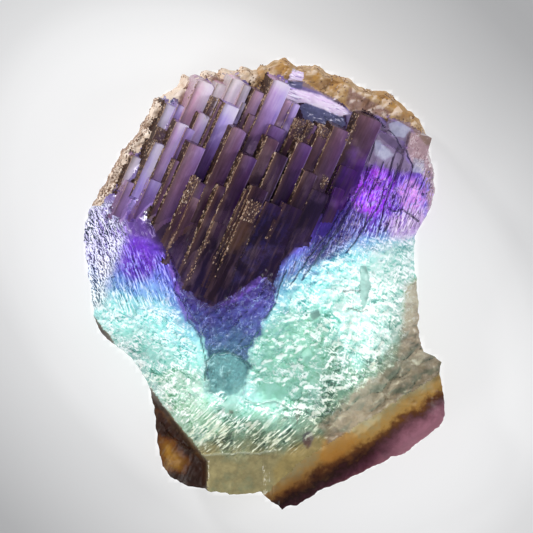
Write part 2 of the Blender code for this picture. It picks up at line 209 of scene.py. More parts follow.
# Regions of the front by their kind of fracture, pixels of the photograph
REGIONS_PX = {
    "crumpled": (
        (292, 266), (320, 252), (350, 238), (385, 236), (420, 226), (426, 260), (424, 300),
        (408, 330), (396, 362), (350, 398), (318, 425), (290, 418), (250, 412), (212, 404),
        (207, 394), (246, 392), (252, 348), (266, 319), (275, 303), (281, 286),
    ),
    "fibrous": (
        (78, 203), (112, 206), (124, 232), (140, 250), (166, 258), (174, 280), (176, 304),
        (150, 304), (130, 312), (108, 300), (84, 318),
    ),
    "rippled": (
        (84, 318), (108, 300), (130, 312), (150, 304), (176, 304), (190, 324), (205, 372),
        (205, 402), (175, 420), (150, 392), (118, 352), (84, 337),
    ),
    "shredded": (
        (356, 196), (366, 168), (385, 172), (400, 176), (425, 170), (440, 175), (434, 214),
        (420, 228), (385, 238), (348, 242), (318, 256), (292, 270), (280, 290), (272, 284),
        (300, 252), (336, 228),
    ),
    "striated": (
        (205, 395), (240, 412), (300, 420), (330, 430), (290, 452), (205, 452), (160, 440),
        (165, 415),
    ),
    "hammered": (
        (340, 400), (376, 372), (400, 326), (412, 284), (430, 284), (446, 350), (446, 400),
        (430, 400), (380, 415), (330, 445), (318, 425),
    ),
    "veiled": (
        (170, 256), (176, 275), (177, 292), (189, 319), (197, 333), (205, 352), (206, 396),
        (246, 392), (252, 352), (266, 319), (275, 303), (281, 286), (287, 272), (262, 272),
        (246, 287), (232, 296), (213, 307), (200, 300), (186, 288),
    ),
}
# Sharp ridges: half width in mm, and the route
RIDGES_PX = (
    (0.45, ((205, 456), (222, 454), (240, 452), (258, 453), (276, 450))),
    (0.35, ((160, 424), (172, 438), (186, 448), (205, 456))),
    (0.20, ((184, 296), (190, 310), (200, 324), (203, 340))),
    (0.22, ((206, 362), (216, 354), (230, 353), (240, 358))),
    (0.30, ((99, 207), (105, 222), (113, 241))),
    (0.30, ((107, 205), (114, 220), (121, 236))),
    (0.22, ((92, 210), (97, 226), (102, 240))),
    (0.40, ((208, 420), (224, 414), (238, 420), (236, 436))),
    (0.35, ((242, 398), (258, 404), (276, 400), (290, 408))),
    (0.35, ((212, 434), (230, 428), (244, 424))),
)
# Smooth cleavage windows in the fractured front
WINDOWS_PX = (
    ((360, 266), (366, 266), (371, 286), (366, 304), (362, 312), (359, 292)),
    ((309, 312), (318, 309), (321, 315), (312, 321)),
    ((248, 396), (260, 385), (276, 383), (288, 388), (284, 400), (268, 407), (254, 405)),
    ((222, 404), (232, 394), (240, 398), (234, 412), (226, 414)),
    ((300, 352), (310, 346), (314, 356), (306, 364)),
)
# The amber lobe glows here, and is dark brown round it
LOBE_GLOW_PX = ((160, 438), (170, 442), (181, 454), (186, 464), (180, 471), (166, 468), (160, 454))
LENS_PX = ((207, 360), (213, 354), (225, 352), (238, 356), (246, 366), (247, 380), (238, 393),
           (222, 397), (211, 390))
# Open cracks: half width in mm, and the route
CRACKS_PX = (
    (0.20, ((206, 362), (212, 354), (225, 351), (240, 356), (248, 366))),
    (0.22, ((170, 254), (173, 264), (177, 276), (175, 292), (186, 306), (188, 320), (199, 333),
            (203, 350), (207, 364), (205, 380))),
    (0.22, ((287, 270), (280, 286), (276, 302), (265, 318))),
    (0.18, ((258, 330), (250, 344), (240, 348))),
    (0.30, ((372, 165), (352, 206), (330, 240), (312, 266))),
    (0.30, ((360, 188), (340, 228), (318, 255), (302, 280))),
    (0.25, ((350, 196), (330, 230), (306, 262), (290, 286))),
    (0.25, ((384, 196), (362, 230), (346, 254))),
    (0.26, ((393, 158), (386, 182), (377, 208))),
    (0.26, ((402, 152), (394, 178), (384, 206), (379, 230))),
    (0.24, ((374, 142), (368, 165), (362, 188))),
    (0.22, ((383, 163), (378, 178), (372, 190))),
    (0.22, ((412, 172), (406, 188), (402, 202))),
    (0.32, ((388, 208), (396, 212), (402, 210), (412, 216), (418, 222))),
    (0.26, ((405, 148), (409, 158), (412, 168))),
    (0.22, ((352, 118), (362, 112), (371, 115), (380, 123), (388, 131), (396, 139), (402, 148))),
    (0.30, ((344, 291), (352, 290), (358, 291))),
    (0.25, ((350, 308), (360, 312), (366, 310))),
    (0.22, ((103, 208), (109, 222), (117, 240))),
    (0.22, ((96, 210), (102, 228), (107, 246))),
    (0.22, ((111, 206), (118, 222), (125, 236))),
)
# The dark wedge that the columns grow out of, ending in a point above the middle
WEDGE_PX = (
    (120, 200), (136, 226), (150, 242), (171, 257), (176, 275), (177, 292), (189, 319), (197, 333),
    (204, 352), (215, 356), (230, 350), (240, 346), (253, 340), (266, 319), (275, 303), (281, 286),
    (287, 272), (300, 262), (320, 250), (334, 241), (349, 234), (353, 220), (358, 190), (345, 105),
    (280, 90), (200, 100), (150, 130),
)
HEART_PX = (
    (140, 196), (152, 226), (164, 246), (176, 268), (186, 288), (200, 300), (213, 306), (232, 295),
    (246, 286), (262, 270), (282, 260), (298, 246), (308, 234), (320, 214), (334, 186), (346, 150),
    (345, 105), (280, 90), (200, 100), (150, 130),
)
# Blue wisps and a brown glow deep in the heart
WISPS_PX = ((252, 196), (284, 196), (300, 222), (286, 256), (252, 282), (226, 288), (228, 256), (246, 232))
EMBER_PX = ((224, 240), (236, 222), (252, 218), (254, 232), (240, 250), (228, 254))
# Violet light through the foot of the last column
FLARE_PX = ((352, 150), (372, 158), (378, 184), (368, 212), (346, 220), (334, 206), (342, 176))
# Sugar that also covers faces, mm across and along the lean
SUGAR_PATCHES = (
    ((-7.6, 33.2), (-3.8, 33.6), (-4.0, 30.0), (-5.2, 28.4), (-7.0, 28.6)),
    ((-24.7, 30.2), (-23.5, 30.2), (-23.6, 25.4), (-24.6, 26.0)),
    ((-9.6, 14.4), (-6.8, 14.4), (-7.0, 10.2), (-9.2, 9.6)),
    ((-21.9, 14.2), (-19.8, 14.2), (-20.4, 11.0), (-21.2, 6.0), (-21.7, 6.0)),
    ((-35.5, 12.0), (-34.8, 21.0), (-34.0, 24.2), (-32.9, 24.2), (-32.6, 18.0), (-34.2, 17.5)),
    ((-2.9, 33.9), (-0.2, 33.9), (-0.4, 31.6), (-2.6, 31.4)),
    ((3.0, 37.0), (4.0, 36.6), (3.9, 32.4), (3.1, 32.4)),
    ((1.8, 24.6), (3.3, 24.6), (3.2, 22.2), (2.2, 22.0)),
    ((-13.9, 4.0), (-13.2, 3.4), (-14.4, 0.4), (-14.8, 1.2)),
    ((-32.4, 20.2), (-30.0, 20.2), (-30.1, 17.2), (-33.6, 17.0)),
)


def from_photo(places):
    """Pixels of the photograph as millimetres on the specimen."""
    places = np.asarray(places, float)
    return np.stack(
        [(places[:, 0] - PHOTO_MIDDLE[0]) * PIXEL, (PHOTO_MIDDLE[1] - places[:, 1]) * PIXEL], 1
    )


def blend(low, high, value):
    """Smooth step from nought at low to one at high."""
    share = np.clip((value - low) / (high - low), 0.0, 1.0)
    return share * share * (3.0 - 2.0 * share)


def bumps(x, y, size, seed):
    """Smooth random heights, about -1 to 1, on a lattice of the given size."""
    turns = np.random.default_rng(seed).uniform(0.0, 2.0 * math.pi, (64, 64))
    gx, gy = x / size + 512.37, y / size + 512.71
    ix, iy = np.floor(gx).astype(int), np.floor(gy).astype(int)
    fx, fy = gx - ix, gy - iy

    def corner(dx, dy):
        turn = turns[(ix + dx) % 64, (iy + dy) % 64]
        return np.cos(turn) * (fx - dx) + np.sin(turn) * (fy - dy)

    wx = fx**3 * (fx * (fx * 6.0 - 15.0) + 10.0)
    wy = fy**3 * (fy * (fy * 6.0 - 15.0) + 10.0)
    near = corner(0, 0) * (1.0 - wx) + corner(1, 0) * wx
    far = corner(0, 1) * (1.0 - wx) + corner(1, 1) * wx
    return 1.5 * (near * (1.0 - wy) + far * wy)


def roughness(x, y, size, seed, layers=3):
    """Bumps upon smaller bumps."""
    total = np.zeros_like(x)
    for layer in range(layers):
        total += bumps(x, y, size / 2.0**layer, seed + layer) / 2.0**layer
    return total


def creases(x, y, size, seed):
    """Sharp-crested folds of crumpled foil, 0 in the folds to 1 between them."""
    bend_x = x + 0.5 * size * bumps(x, y, 1.3 * size, seed + 50)
    bend_y = y + 0.5 * size * bumps(x, y, 1.3 * size, seed + 51)
    broad = np.abs(bumps(bend_x, bend_y, size, seed))
    fine = np.abs(bumps(bend_x, bend_y, 0.47 * size, seed + 1))
    return broad + 0.45 * fine


def tilted_cells(x, y, size, steep, uneven, margin, seed):
    """For each neighbouring cell: squared distance from its middle, and its tilted plane's height."""
    rng = np.random.default_rng(seed)
    count = 96
    place = rng.uniform(margin, 1.0 - margin, (count, count, 2))
    tilt = rng.uniform(-steep, steep, (count, count, 2))
    drop = rng.uniform(-uneven, uneven, (count, count)) * steep
    gx, gy = x / size + 256.0, y / size + 256.0
    ix, iy = np.floor(gx).astype(int), np.floor(gy).astype(int)
    for dx in (-1, 0, 1):
        for dy in (-1, 0, 1):
            cell = ((ix + dx) % count, (iy + dy) % count)
            ox = gx - (ix + dx) - place[cell][..., 0]
            oy = gy - (iy + dy) - place[cell][..., 1]
            plane = tilt[cell][..., 0] * ox + tilt[cell][..., 1] * oy + drop[cell]
            yield ox * ox + oy * oy, plane


def chips(x, y, size, steep, seed):
    """Small flat cleavage facets at random tilts, with steps between them."""
    best = np.full(x.shape, 1e9)
    height = np.zeros(x.shape)
    for gap, plane in tilted_cells(x, y, size, steep, 0.5, 0.1, seed):
        closer = gap < best
        best = np.where(closer, gap, best)
        height = np.where(closer, plane * size, height)
    return height


def facets(x, y, size, steep, dome, seed):
    """Facets at random tilts that meet in grooves, each a little domed."""
    height = np.full(x.shape, -1e9)
    for gap, plane in tilted_cells(x, y, size, steep, 0.3, 0.0, seed):
        height = np.maximum(height, plane - dome * gap)
    return height * size


def line_gap(x, y, route):
    """Distance from a route of straight runs."""
    gap = np.full(x.shape, 1e9)
    for (ax, ay), (bx, by) in zip(route, route[1:]):
        run = (bx - ax) ** 2 + (by - ay) ** 2
        along = np.clip(((x - ax) * (bx - ax) + (y - ay) * (by - ay)) / run, 0.0, 1.0)
        gap = np.minimum(gap, np.hypot(x - ax - along * (bx - ax), y - ay - along * (by - ay)))
    return gap


def area(x, y, corners, soft):
    """One inside a closed outline in millimetres, nought outside, with a soft border."""
    inside = np.zeros(x.shape, bool)
    for (ax, ay), (bx, by) in zip(corners, np.roll(corners, -1, 0)):
        crosses = (ay > y) != (by > y)
        reach = ax + (y - ay) / np.where(by == ay, 1e-9, by - ay) * (bx - ax)
        inside ^= crosses & (x < reach)
    gap = line_gap(x, y, np.vstack([corners, corners[:1]]))
    return blend(-soft, soft, np.where(inside, gap, -gap))


def region(x, y, corners_px, soft):
    """One inside a region of the photograph."""
    return area(x, y, from_photo(corners_px), soft)


def strongest(x, y, outlines, soft):
    """The highest of several areas."""
    total = np.zeros(x.shape)
    for corners in outlines:
        total = np.maximum(total, area(x, y, corners, soft))
    return total


def fine_outline():
    """The outline with its runs divided and small breaks let in."""
    corners = np.array(OUTLINE)
    spots = []
    for start, end in zip(corners, np.roll(corners, -1, 0)):
        steps = max(1, round(float(np.hypot(*(end - start))) / EDGE_PITCH))
        spots += [start + (end - start) * step / steps for step in range(steps)]
    spots = np.array(spots)
    walk = np.cumsum(np.hypot(*(spots - np.roll(spots, 1, 0)).T))
    out = (spots - CENTRE) / np.hypot(*(spots - CENTRE).T)[:, None]
    breaks = 0.28 * bumps(walk, 0.0 * walk, 1.9, 75) + 0.20 * bumps(walk, 0.0 * walk, 0.9, 76)
    return spots + out * breaks[:, None]


EDGE = fine_outline()
EDGE_ANGLE = np.arctan2(EDGE[:, 1] - CENTRE[1], EDGE[:, 0] - CENTRE[0])
EDGE_REACH = np.hypot(EDGE[:, 1] - CENTRE[1], EDGE[:, 0] - CENTRE[0])


def way_out(x, y):
    """Angle round the centre, and the share of the way out to the outline."""
    angle = np.arctan2(y - CENTRE[1], x - CENTRE[0])
    order = np.argsort(EDGE_ANGLE)
    edge = np.interp(angle, EDGE_ANGLE[order], EDGE_REACH[order], period=2.0 * math.pi)
    return angle, np.hypot(x - CENTRE[0], y - CENTRE[1]) / edge


def rim_low(angle):
    return RIM_LOW + 1.1 * np.cos(2.0 * angle + 0.7) + 0.7 * np.cos(5.0 * angle)


def rim_high(angle):
    return RIM_HIGH + 1.1 * np.sin(angle) + 0.8 * np.cos(4.0 * angle + 1.0)


def amber_edge(x, y):
    """How far out past the amber band's inner line, along the lower right edge."""
    return 0.529 * (x - 1.2) - 0.849 * (y + 42.4)


def amber_lobe(x, y):
    """How far out past the inner line of the amber lobe at the lower left."""
    return np.minimum(-0.786 * (x + 22.8) - 0.618 * (y + 20.4), -x - 11.0)


def front_form(x, y):
    """Height of the broken front without its fine relief."""
    angle, share = way_out(x, y)
    inward = 1.0 - np.minimum(share, 1.2) ** 2.4
    height = rim_high(angle) * (1.0 - inward) + CROWN * inward
    spread = ((x - SWELL_MIDDLE[0]) / SWELL_REACH[0]) ** 2
    spread += ((y - SWELL_MIDDLE[1]) / SWELL_REACH[1]) ** 2
    height += COLUMN_SWELL * np.exp(-spread)
    away = np.hypot(x - SHOULDER_MIDDLE[0], y - SHOULDER_MIDDLE[1]) / SHOULDER_REACH
    height += SHOULDER * np.exp(-away * away)
    # the dark wedge stands out from the flanks with a ledge
    height += LEDGE * region(*frayed(x, y), WEDGE_PX, 0.5) * (1.0 - 0.9 * blend(-10.0, -4.0, x))
    # the smooth olive cleavage along the foot
    height = np.minimum(height, FOOT_TOP + 0.42 * (y + 34.4))
    # the banded edge at the lower right slopes away from the front
    height = np.minimum(height, BAND_TOP - 0.5 * amber_edge(x, y))
    # the amber lobe at the lower left is stepped back
    return height - LOBE_STEP * blend(0.0, 1.6, amber_lobe(x, y))


def heart_gap(x, y):
    """Distance out from the dark heart, nought inside it."""
    corners = from_photo(HEART_PX)
    gap = line_gap(x, y, np.vstack([corners, corners[:1]]))
    return gap * (area(x, y, corners, 0.01) < 0.5)


def windows(x, y):
    """Smooth cleavage windows in the fractured front."""
    return strongest(x, y, [from_photo(corners) for corners in WINDOWS_PX], 0.12)


def near_routes(x, y, routes_px):
    """One along cracks or ridges, nought beside them."""
    total = np.zeros(x.shape)
    for width, route in routes_px:
        gap = line_gap(x, y, from_photo(route))
        total = np.maximum(total, 1.0 - blend(0.3 * width, width, gap))
    return total


def turned(x, y, degrees):
    """Coordinates across and along a direction, degrees clockwise from the photograph's up."""
    turn = math.radians(degrees)
    return x * math.cos(turn) - y * math.sin(turn), y * math.cos(turn) + x * math.sin(turn)


def unrest(x, y):
    """How broken the fracture is: calm patches among rough ones."""
    return 0.40 + 0.60 * blend(-0.35, 0.25, bumps(x, y, 5.5, 91) + 0.5 * bumps(x, y, 2.4, 92))


def crumpled_skin(x, y):
    across, along = turned(x, y, -65.0)
    bend = 0.7 * bumps(x, y, 2.6, 15)
    foil = 0.60 * creases(across + bend, along / 1.3, 2.9, 11)
    foil += facets(across + bend, along / 1.4, 1.5, 0.50, 0.45, 12)
    return unrest(x, y) * (foil + facets(across, along / 1.3 + bend, 0.85, 0.45, 0.45, 14))


def fibrous_skin(x, y):
    across, along = turned(x, y, -21.0)
    fibres = 0.35 * bumps(across, along / 6.0, 0.7, 21) + facets(across, along / 4.0, 0.75, 0.6, 0.5, 23)
    return fibres + 0.5 * creases(across, along / 3.0, 1.8, 22)


def rippled_skin(x, y):
    across, along = turned(x, y, -50.0)
    ripples = 0.70 * creases(across, along / 2.2, 2.2, 24) + facets(across, along / 2.0, 1.2, 0.55, 0.45, 27)
    return unrest(x, y) * (ripples + facets(x, y, 0.75, 0.45, 0.5, 29))


def shredded_skin(x, y):
    """Splinters that run with the blocks of the right flank."""
    across, along = turned(x, y, 20.0)
    splinters = facets(across, along / 3.0, 1.1, 0.55, 0.45, 26)
    return 0.60 * creases(across, along / 3.0, 2.0, 25) + splinters + facets(x, y, 0.8, 0.4, 0.4, 28)


def striated_skin(x, y):
    across, along = turned(x, y, 45.0)
    lines = 0.12 * bumps(across, along / 7.0, 0.55, 31) + facets(across, along / 4.0, 0.9, 0.4, 0.32, 32)
    return unrest(x, y) * (lines + 0.35 * creases(x, y, 3.4, 33) + facets(x, y, 2.6, 0.3, 0.3, 34))


def hammered_skin(x, y):
    across, along = turned(x, y, 60.0)
    dents = facets(across, along / 1.5, 2.3, 0.40, 0.45, 42)
    return 0.70 * creases(across, along / 1.4, 3.8, 41) + dents


def veiled_skin(x, y):
    across, along = turned(x, y, 40.0)
    texture = 0.40 * creases(across, along / 1.6, 2.4, 45) + facets(across, along / 1.4, 1.0, 0.4, 0.35, 46)
    return texture * (1.0 - 0.75 * region(x, y, LENS_PX, 0.6))


def crusted_skin(x, y):
    lumps = 0.60 * roughness(x, y, 3.4, 93, 2) + facets(x, y, 2.6, 0.40, 0.50, 94)
    return lumps + 0.6 * facets(x, y, 1.0, 0.35, 0.45, 95)


# Each fracture skin: its region, softness of the border, and how much painted highlight and painted shade its
# relief gets
SKINS = (
    ("crumpled", crumpled_skin, 1.2, 1.00, 0.5),
    ("fibrous", fibrous_skin, 1.2, 1.00, 0.8),
    ("rippled", rippled_skin, 1.6, 1.00, 0.55),
    ("shredded", shredded_skin, 2.6, 0.70, 0.5),
    ("striated", striated_skin, 2.0, 0.80, 0.5),
    ("hammered", hammered_skin, 1.4, 0.50, 0.8),
    ("veiled", veiled_skin, 1.3, 0.15, 0.9),
    ("crusted", crusted_skin, 0.5, 0.40, 0.9),
)


def frayed(x, y):
    """Coordinates bent a little, so that the borders of regions run unevenly."""
    return (
        x + 0.9 * bumps(x, y, 3.1, 83) + 0.45 * bumps(x, y, 1.1, 84),
        y + 0.9 * bumps(x, y, 3.1, 85) + 0.45 * bumps(x, y, 1.1, 86),
    )


def skin_shares(x, y):
    """How much of each skin there is, and how open the front is to relief."""
    shares = []
    bent_x, bent_y = frayed(x, y)
    for name, _, soft, _, _ in SKINS:
        corners = from_lean(CRUST) if name == "crusted" else from_photo(REGIONS_PX[name])
        shares.append(area(bent_x, bent_y, corners, soft))
    total = np.maximum(sum(shares), 1.0)
    shares = [share / total for share in shares]
    x, y = x + 0.3 * (bent_x - x), y + 0.3 * (bent_y - y)
    return shares, 1.0 - 0.92 * windows(x, y), near_routes(x, y, CRACKS_PX), near_routes(x, y, RIDGES_PX)


def skin_relief(x, y, shares, rough, open_cracks, ridges):
    """Relief of the broken front, of each region its own kind."""
    height = np.zeros(x.shape)
    for share, (_, skin, _, _, _) in zip(shares, SKINS):
        some = share > 0.0
        height[some] += share[some] * skin(x[some], y[some])
    return height * rough - 0.45 * open_cracks + 0.40 * ridges


def front_height(x, y):
    """Height of the broken front with its relief."""
    bare = 0.10 * roughness(x, y, 2.3, 51)
    relief = skin_relief(x, y, *skin_shares(x, y))
    return front_form(x, y) + 0.45 * bumps(x, y, 8.0, 3) + bare + relief


def back_height(x, y):
    """Height of the underside: flat cleavage in the middle, broken faces rising to the edge."""
    angle, share = way_out(x, y)
    corners = np.array(UNDERSIDE)
    ring = np.linspace(-math.pi, math.pi, 721)
    reach = np.full(ring.shape, 1e9)
    for (ax, ay), (bx, by) in zip(corners, np.roll(corners, -1, 0)):
        ax, bx, ay, by = ax - CENTRE[0], bx - CENTRE[0], ay - CENTRE[1], by - CENTRE[1]
        cross = np.cos(ring) * (by - ay) - np.sin(ring) * (bx - ax)
        length = (ax * by - ay * bx) / np.where(np.abs(cross) < 1e-9, 1e-9, cross)
        reach = np.where((length > 0.0), np.minimum(reach, length), reach)
    flat = np.interp(angle, ring, reach)
    out = np.hypot(x - CENTRE[0], y - CENTRE[1])
    edge = out / np.maximum(share, 1e-6)
    rise = np.clip((out - flat) / np.maximum(edge - flat, 1.0), 0.0, 1.3)
    rough = chips(x, y, 3.6, 0.14, 61) + 0.25 * creases(x, y, 3.0, 62)
    steps = 0.22 * blend(0.1, 0.16, bumps(x, y, 9.0, 63)) + 0.15 * blend(0.2, 0.25, bumps(y, x, 5.0, 64))
    return rise * rim_low(angle) + blend(0.0, 0.25, rise) * rough + steps * (1.0 - blend(0.0, 0.1, rise))


def mesh_object(name, corners, faces):
    """A mesh object from corners in millimetres."""
    data = bpy.data.meshes.new(name)
    data.from_pydata((np.asarray(corners) * MM).tolist(), [], faces)
    data.update()
    thing = bpy.data.objects.new(name, data)
    bpy.context.scene.collection.objects.link(thing)
    return thing


def relief_block(name, heights, pitch, far):
    """A block whose top (or, with far above it, whose underside) is a relief."""
    xs = np.arange(-39.0, 39.0 + pitch, pitch)
    ys = np.arange(-48.0, 48.0 + pitch, pitch)
    x, y = np.meshgrid(xs, ys)
    z = heights(x, y)
    count = x.size
    box = [(xs[0], ys[0], far), (xs[-1], ys[0], far), (xs[-1], ys[-1], far), (xs[0], ys[-1], far)]
    corners = np.vstack([np.stack([x.ravel(), y.ravel(), z.ravel()], 1), box])
    index = np.arange(count).reshape(x.shape)
    quads = np.stack([index[:-1, :-1], index[:-1, 1:], index[1:, 1:], index[1:, :-1]], -1).reshape(-1, 4)
    a, b, c, d = range(count, count + 4)
    sides = [
        [a, b, *index[0, ::-1]], [b, c, *index[::-1, -1]], [c, d, *index[-1, :]],
        [d, a, *index[:, 0]], [a, d, c, b],
    ]
    faces = quads.tolist() + [[int(i) for i in side] for side in sides]
    block = mesh_object(name, corners, faces)
    if far > z.max():
        block.data.flip_normals()
    return block


def broken_edge():
    """The prism that bounds the slab sideways, its wall leaning in or out and broken."""
    levels = np.concatenate([[-8.0], np.arange(1.0, 17.0, EDGE_PITCH), [45.0]])
    low = rim_low(EDGE_ANGLE)
    high = np.maximum(front_form(*EDGE.T), low + 1.0)
    overhang = 0.35 - np.sin(EDGE_ANGLE)
    walk = np.cumsum(np.hypot(*(EDGE - np.roll(EDGE, 1, 0)).T))
    corners = []
    for level in levels:
        share = np.clip((level - low) / (high - low), 0.0, 1.0)
        lean = 1.0 - 0.055 * np.maximum(overhang, 0.0) * (1.0 - share)
        lean -= 0.04 * np.maximum(-overhang, 0.0) * share
        broken = np.abs(roughness(walk, level + 0.0 * walk, 3.0, 71)) + np.abs(
            chips(walk, level + 0.0 * walk, 1.8, 0.25, 74)
        )
        inset = 0.25 * np.minimum(broken, 1.6) / EDGE_REACH
        spots = np.array(CENTRE) + (EDGE - CENTRE) * (lean - inset)[:, None]
        corners.append(np.column_stack([spots, np.full(len(EDGE), level)]))
    count, rows = len(EDGE), len(levels)
    index = np.arange(count * rows).reshape(rows, count)
    around = np.roll(index, -1, 1)
    quads = np.stack([index[:-1], around[:-1], around[1:], index[1:]], -1).reshape(-1, 4)
    faces = quads.tolist() + [index[0, ::-1].tolist(), index[-1].tolist()]
    return mesh_object("broken_edge", np.vstack(corners), faces)


def joined_by(body, operation, other):
    """Body cut by, or joined with, another object or a whole collection."""
    step = body.modifiers.new("join", "BOOLEAN")
    step.solver = "MANIFOLD"
    step.operation = operation
    if isinstance(other, bpy.types.Collection):
        step.operand_type = "COLLECTION"
        step.collection = other
        spent = list(other.objects)
    else:
        step.object = other
        spent = [other]
    ready = body.evaluated_get(bpy.context.evaluated_depsgraph_get())
    result = bpy.data.meshes.new_from_object(ready)
    body.modifiers.clear()
    body.data = result
    for thing in spent:
        bpy.data.objects.remove(thing, do_unlink=True)


def column_frame(left, tip, height):
    """Corner of a column's leading edge at its tip, and its across, length and facing axes."""
    lean = LEAN - FAN * max(left - 2.0, 0.0)
    flat = np.array((math.sin(lean), math.cos(lean), 0.0))
    length = flat * math.cos(TILT) + np.array((0.0, 0.0, math.sin(TILT)))
    side = np.array((math.cos(lean), -math.sin(lean), 0.0))
    rise = np.cross(side, length)
    facing = rise * math.cos(TURN) + side * math.sin(TURN)
    across = side * math.cos(TURN) - rise * math.sin(TURN)
    corner = np.array((
        left * math.cos(LEAN) + tip * math.sin(LEAN),
        tip * math.cos(LEAN) - left * math.sin(LEAN),
        height,
    )) + FIELD_OFFSET
    return corner, across, length, facing


def tip_height(left, right, tip, foot, lift):
    """Height of a column's leading edge at its tip, if its face meets the front at its foot."""
    across = 0.5 * (left + right)
    x = across * math.cos(LEAN) + foot * math.sin(LEAN)
    y = foot * math.cos(LEAN) - across * math.sin(LEAN) + FIELD_OFFSET[1]
    ground = float(front_form(np.array([x]), np.array([y]))[0])
    return ground + (tip - foot) * math.tan(TILT) + lift - SUNK


def from_lean(places):
    """Places across and along the lean as millimetres on the specimen."""
    u, s = np.asarray(places, float).T
    return np.stack(
        [u * math.cos(LEAN) + s * math.sin(LEAN),
         s * math.cos(LEAN) - u * math.sin(LEAN) + FIELD_OFFSET[1]], 1
    )


def all_columns():
    """Every prism of the growth: left, right, tip, foot, tip height, depth."""
    prisms = [
        (c[0], c[1] + TUCK, c[2], c[3] - REACH_ON, tip_height(*c[:5]), COLUMN_DEPTH)
        for c in COLUMNS
    ]
    prisms += [(*c[:4], tip_height(*c[:5]), COLUMN_DEPTH) for c in CLEAR_BLOCKS]
    return prisms + [(*end, RIM_END_DEPTH) for end in RIM_ENDS]


def spaced(length, bevel, pitch):
    """Stations along an edge: close at both bevelled ends, even between them."""
    count = max(2, round((length - 2.0 * bevel) / pitch) + 1)
    return np.concatenate([[0.0], np.linspace(bevel, length - bevel, count), [length]])


def column_crystal(name, left, right, tip, foot, height, depth, roundness, seed, pitches, lumpy=False):
    """One square column with worn edges, a lightly stepped face and a rough narrow side."""
    corner, across, length, facing = column_frame(left, tip, height)
    width = (right - left) / math.cos(TURN)
    reach = (tip - foot) / math.cos(TILT)
    bevel = 0.7 if lumpy else min(0.14, 0.2 * width)
    stations = [spaced(run, bevel, pitch) for run, pitch in zip((width, reach, depth), pitches)]
    sizes = [len(s) for s in stations]
    spots = {}
    faces = []

    def spot(i, j, k):
        return spots.setdefault((i, j, k), len(spots))

    for fixed in range(3):
        u, v = [axis for axis in range(3) if axis != fixed]
        for end in (0, sizes[fixed] - 1):
            for i in range(sizes[u] - 1):
                for j in range(sizes[v] - 1):
                    quad = []
                    for a, b in ((i, j), (i + 1, j), (i + 1, j + 1), (i, j + 1)):
                        key = [0, 0, 0]
                        key[fixed], key[u], key[v] = end, a, b
                        quad.append(spot(*key))
                    faces.append(quad)
    lattice = np.array([[stations[n][key[n]] for n in range(3)] for key in spots])
    size = np.array((width, reach, depth))
    core = np.clip(lattice, bevel, size - bevel)
    out = lattice - core
    span = np.linalg.norm(out, axis=1, keepdims=True)
    place = core + out / np.maximum(span, 1e-9) * bevel * (span > 1e-9)
    a, b, c = place.T

    # the face is nearly flat, the narrow left side and the tip are uneven
    face = np.clip(1.0 - c / 0.3, 0.0, 1.0)
    side = np.clip(1.0 - a / 0.3, 0.0, 1.0) * blend(0.1, 0.5, c)
    cap = np.clip(1.0 - b / 0.3, 0.0, 1.0)
    c = c + face * 0.05 * bumps(a, b / 4.0, 1.9, seed + 1)
    a = a + side * 0.10 * roughness(b, c, 1.6, seed + 2, 2)
    b = b + cap * (0.16 * bumps(a, c, 1.1, seed + 3) + 0.1)
    # rounded shoulders at the tip, and the foot broken off on a slant
    shoulder = np.abs(2.0 * a / width - 1.0)
    b = b + roundness * (1.0 - np.sqrt(np.maximum(1.0 - shoulder**3, 0.0))) * (1.0 - b / reach)
    b = b - FOOT_SLANT * (b / reach) * (1.0 - np.clip(c / depth, 0.0, 1.0))
    corners = corner + a[:, None] * across - b[:, None] * length - c[:, None] * facing
    if lumpy:
        x, y, z = corners.T
        lumps = (
            roughness(y, z, 1.9, seed + 4),
            roughness(z, x, 1.9, seed + 5),
            roughness(x, y, 2.2, seed + 6),
        )
        corners = corners + 0.4 * np.stack(lumps, 1)
    crystal = mesh_object(name, corners, faces)
    shape = bmesh.new()
    shape.from_mesh(crystal.data)
    bmesh.ops.recalc_face_normals(shape, faces=shape.faces)
    shape.to_mesh(crystal.data)
    shape.free()
    return crystal


def grown_specimen():
    """Slab and columns as one closed mesh."""
    slab = relief_block("fluorite", front_height, FRONT_PITCH, -5.0)
    joined_by(slab, "INTERSECT", relief_block("back", back_height, BACK_PITCH, 40.0))
    joined_by(slab, "INTERSECT", broken_edge())
    grown = bpy.data.collections.new("columns")
    bpy.context.scene.collection.children.link(grown)
    roundness = [c[8] for c in COLUMNS] + [0.3] * (len(CLEAR_BLOCKS) + len(RIM_ENDS))
    for number, (prism, worn) in enumerate(zip(all_columns(), roundness)):
        lumpy = number >= len(COLUMNS) + len(CLEAR_BLOCKS)
        pitches = COLUMN_PITCHES
        if number >= len(COLUMNS):
            pitches = RIM_PITCHES if lumpy else BLOCK_PITCHES
        crystal = column_crystal(f"column_{number}", *prism, worn, 100 + 7 * number, pitches, lumpy)
        bpy.context.scene.collection.objects.unlink(crystal)
        grown.objects.link(crystal)
    joined_by(slab, "UNION", grown)
    bpy.data.collections.remove(grown)
    return slab


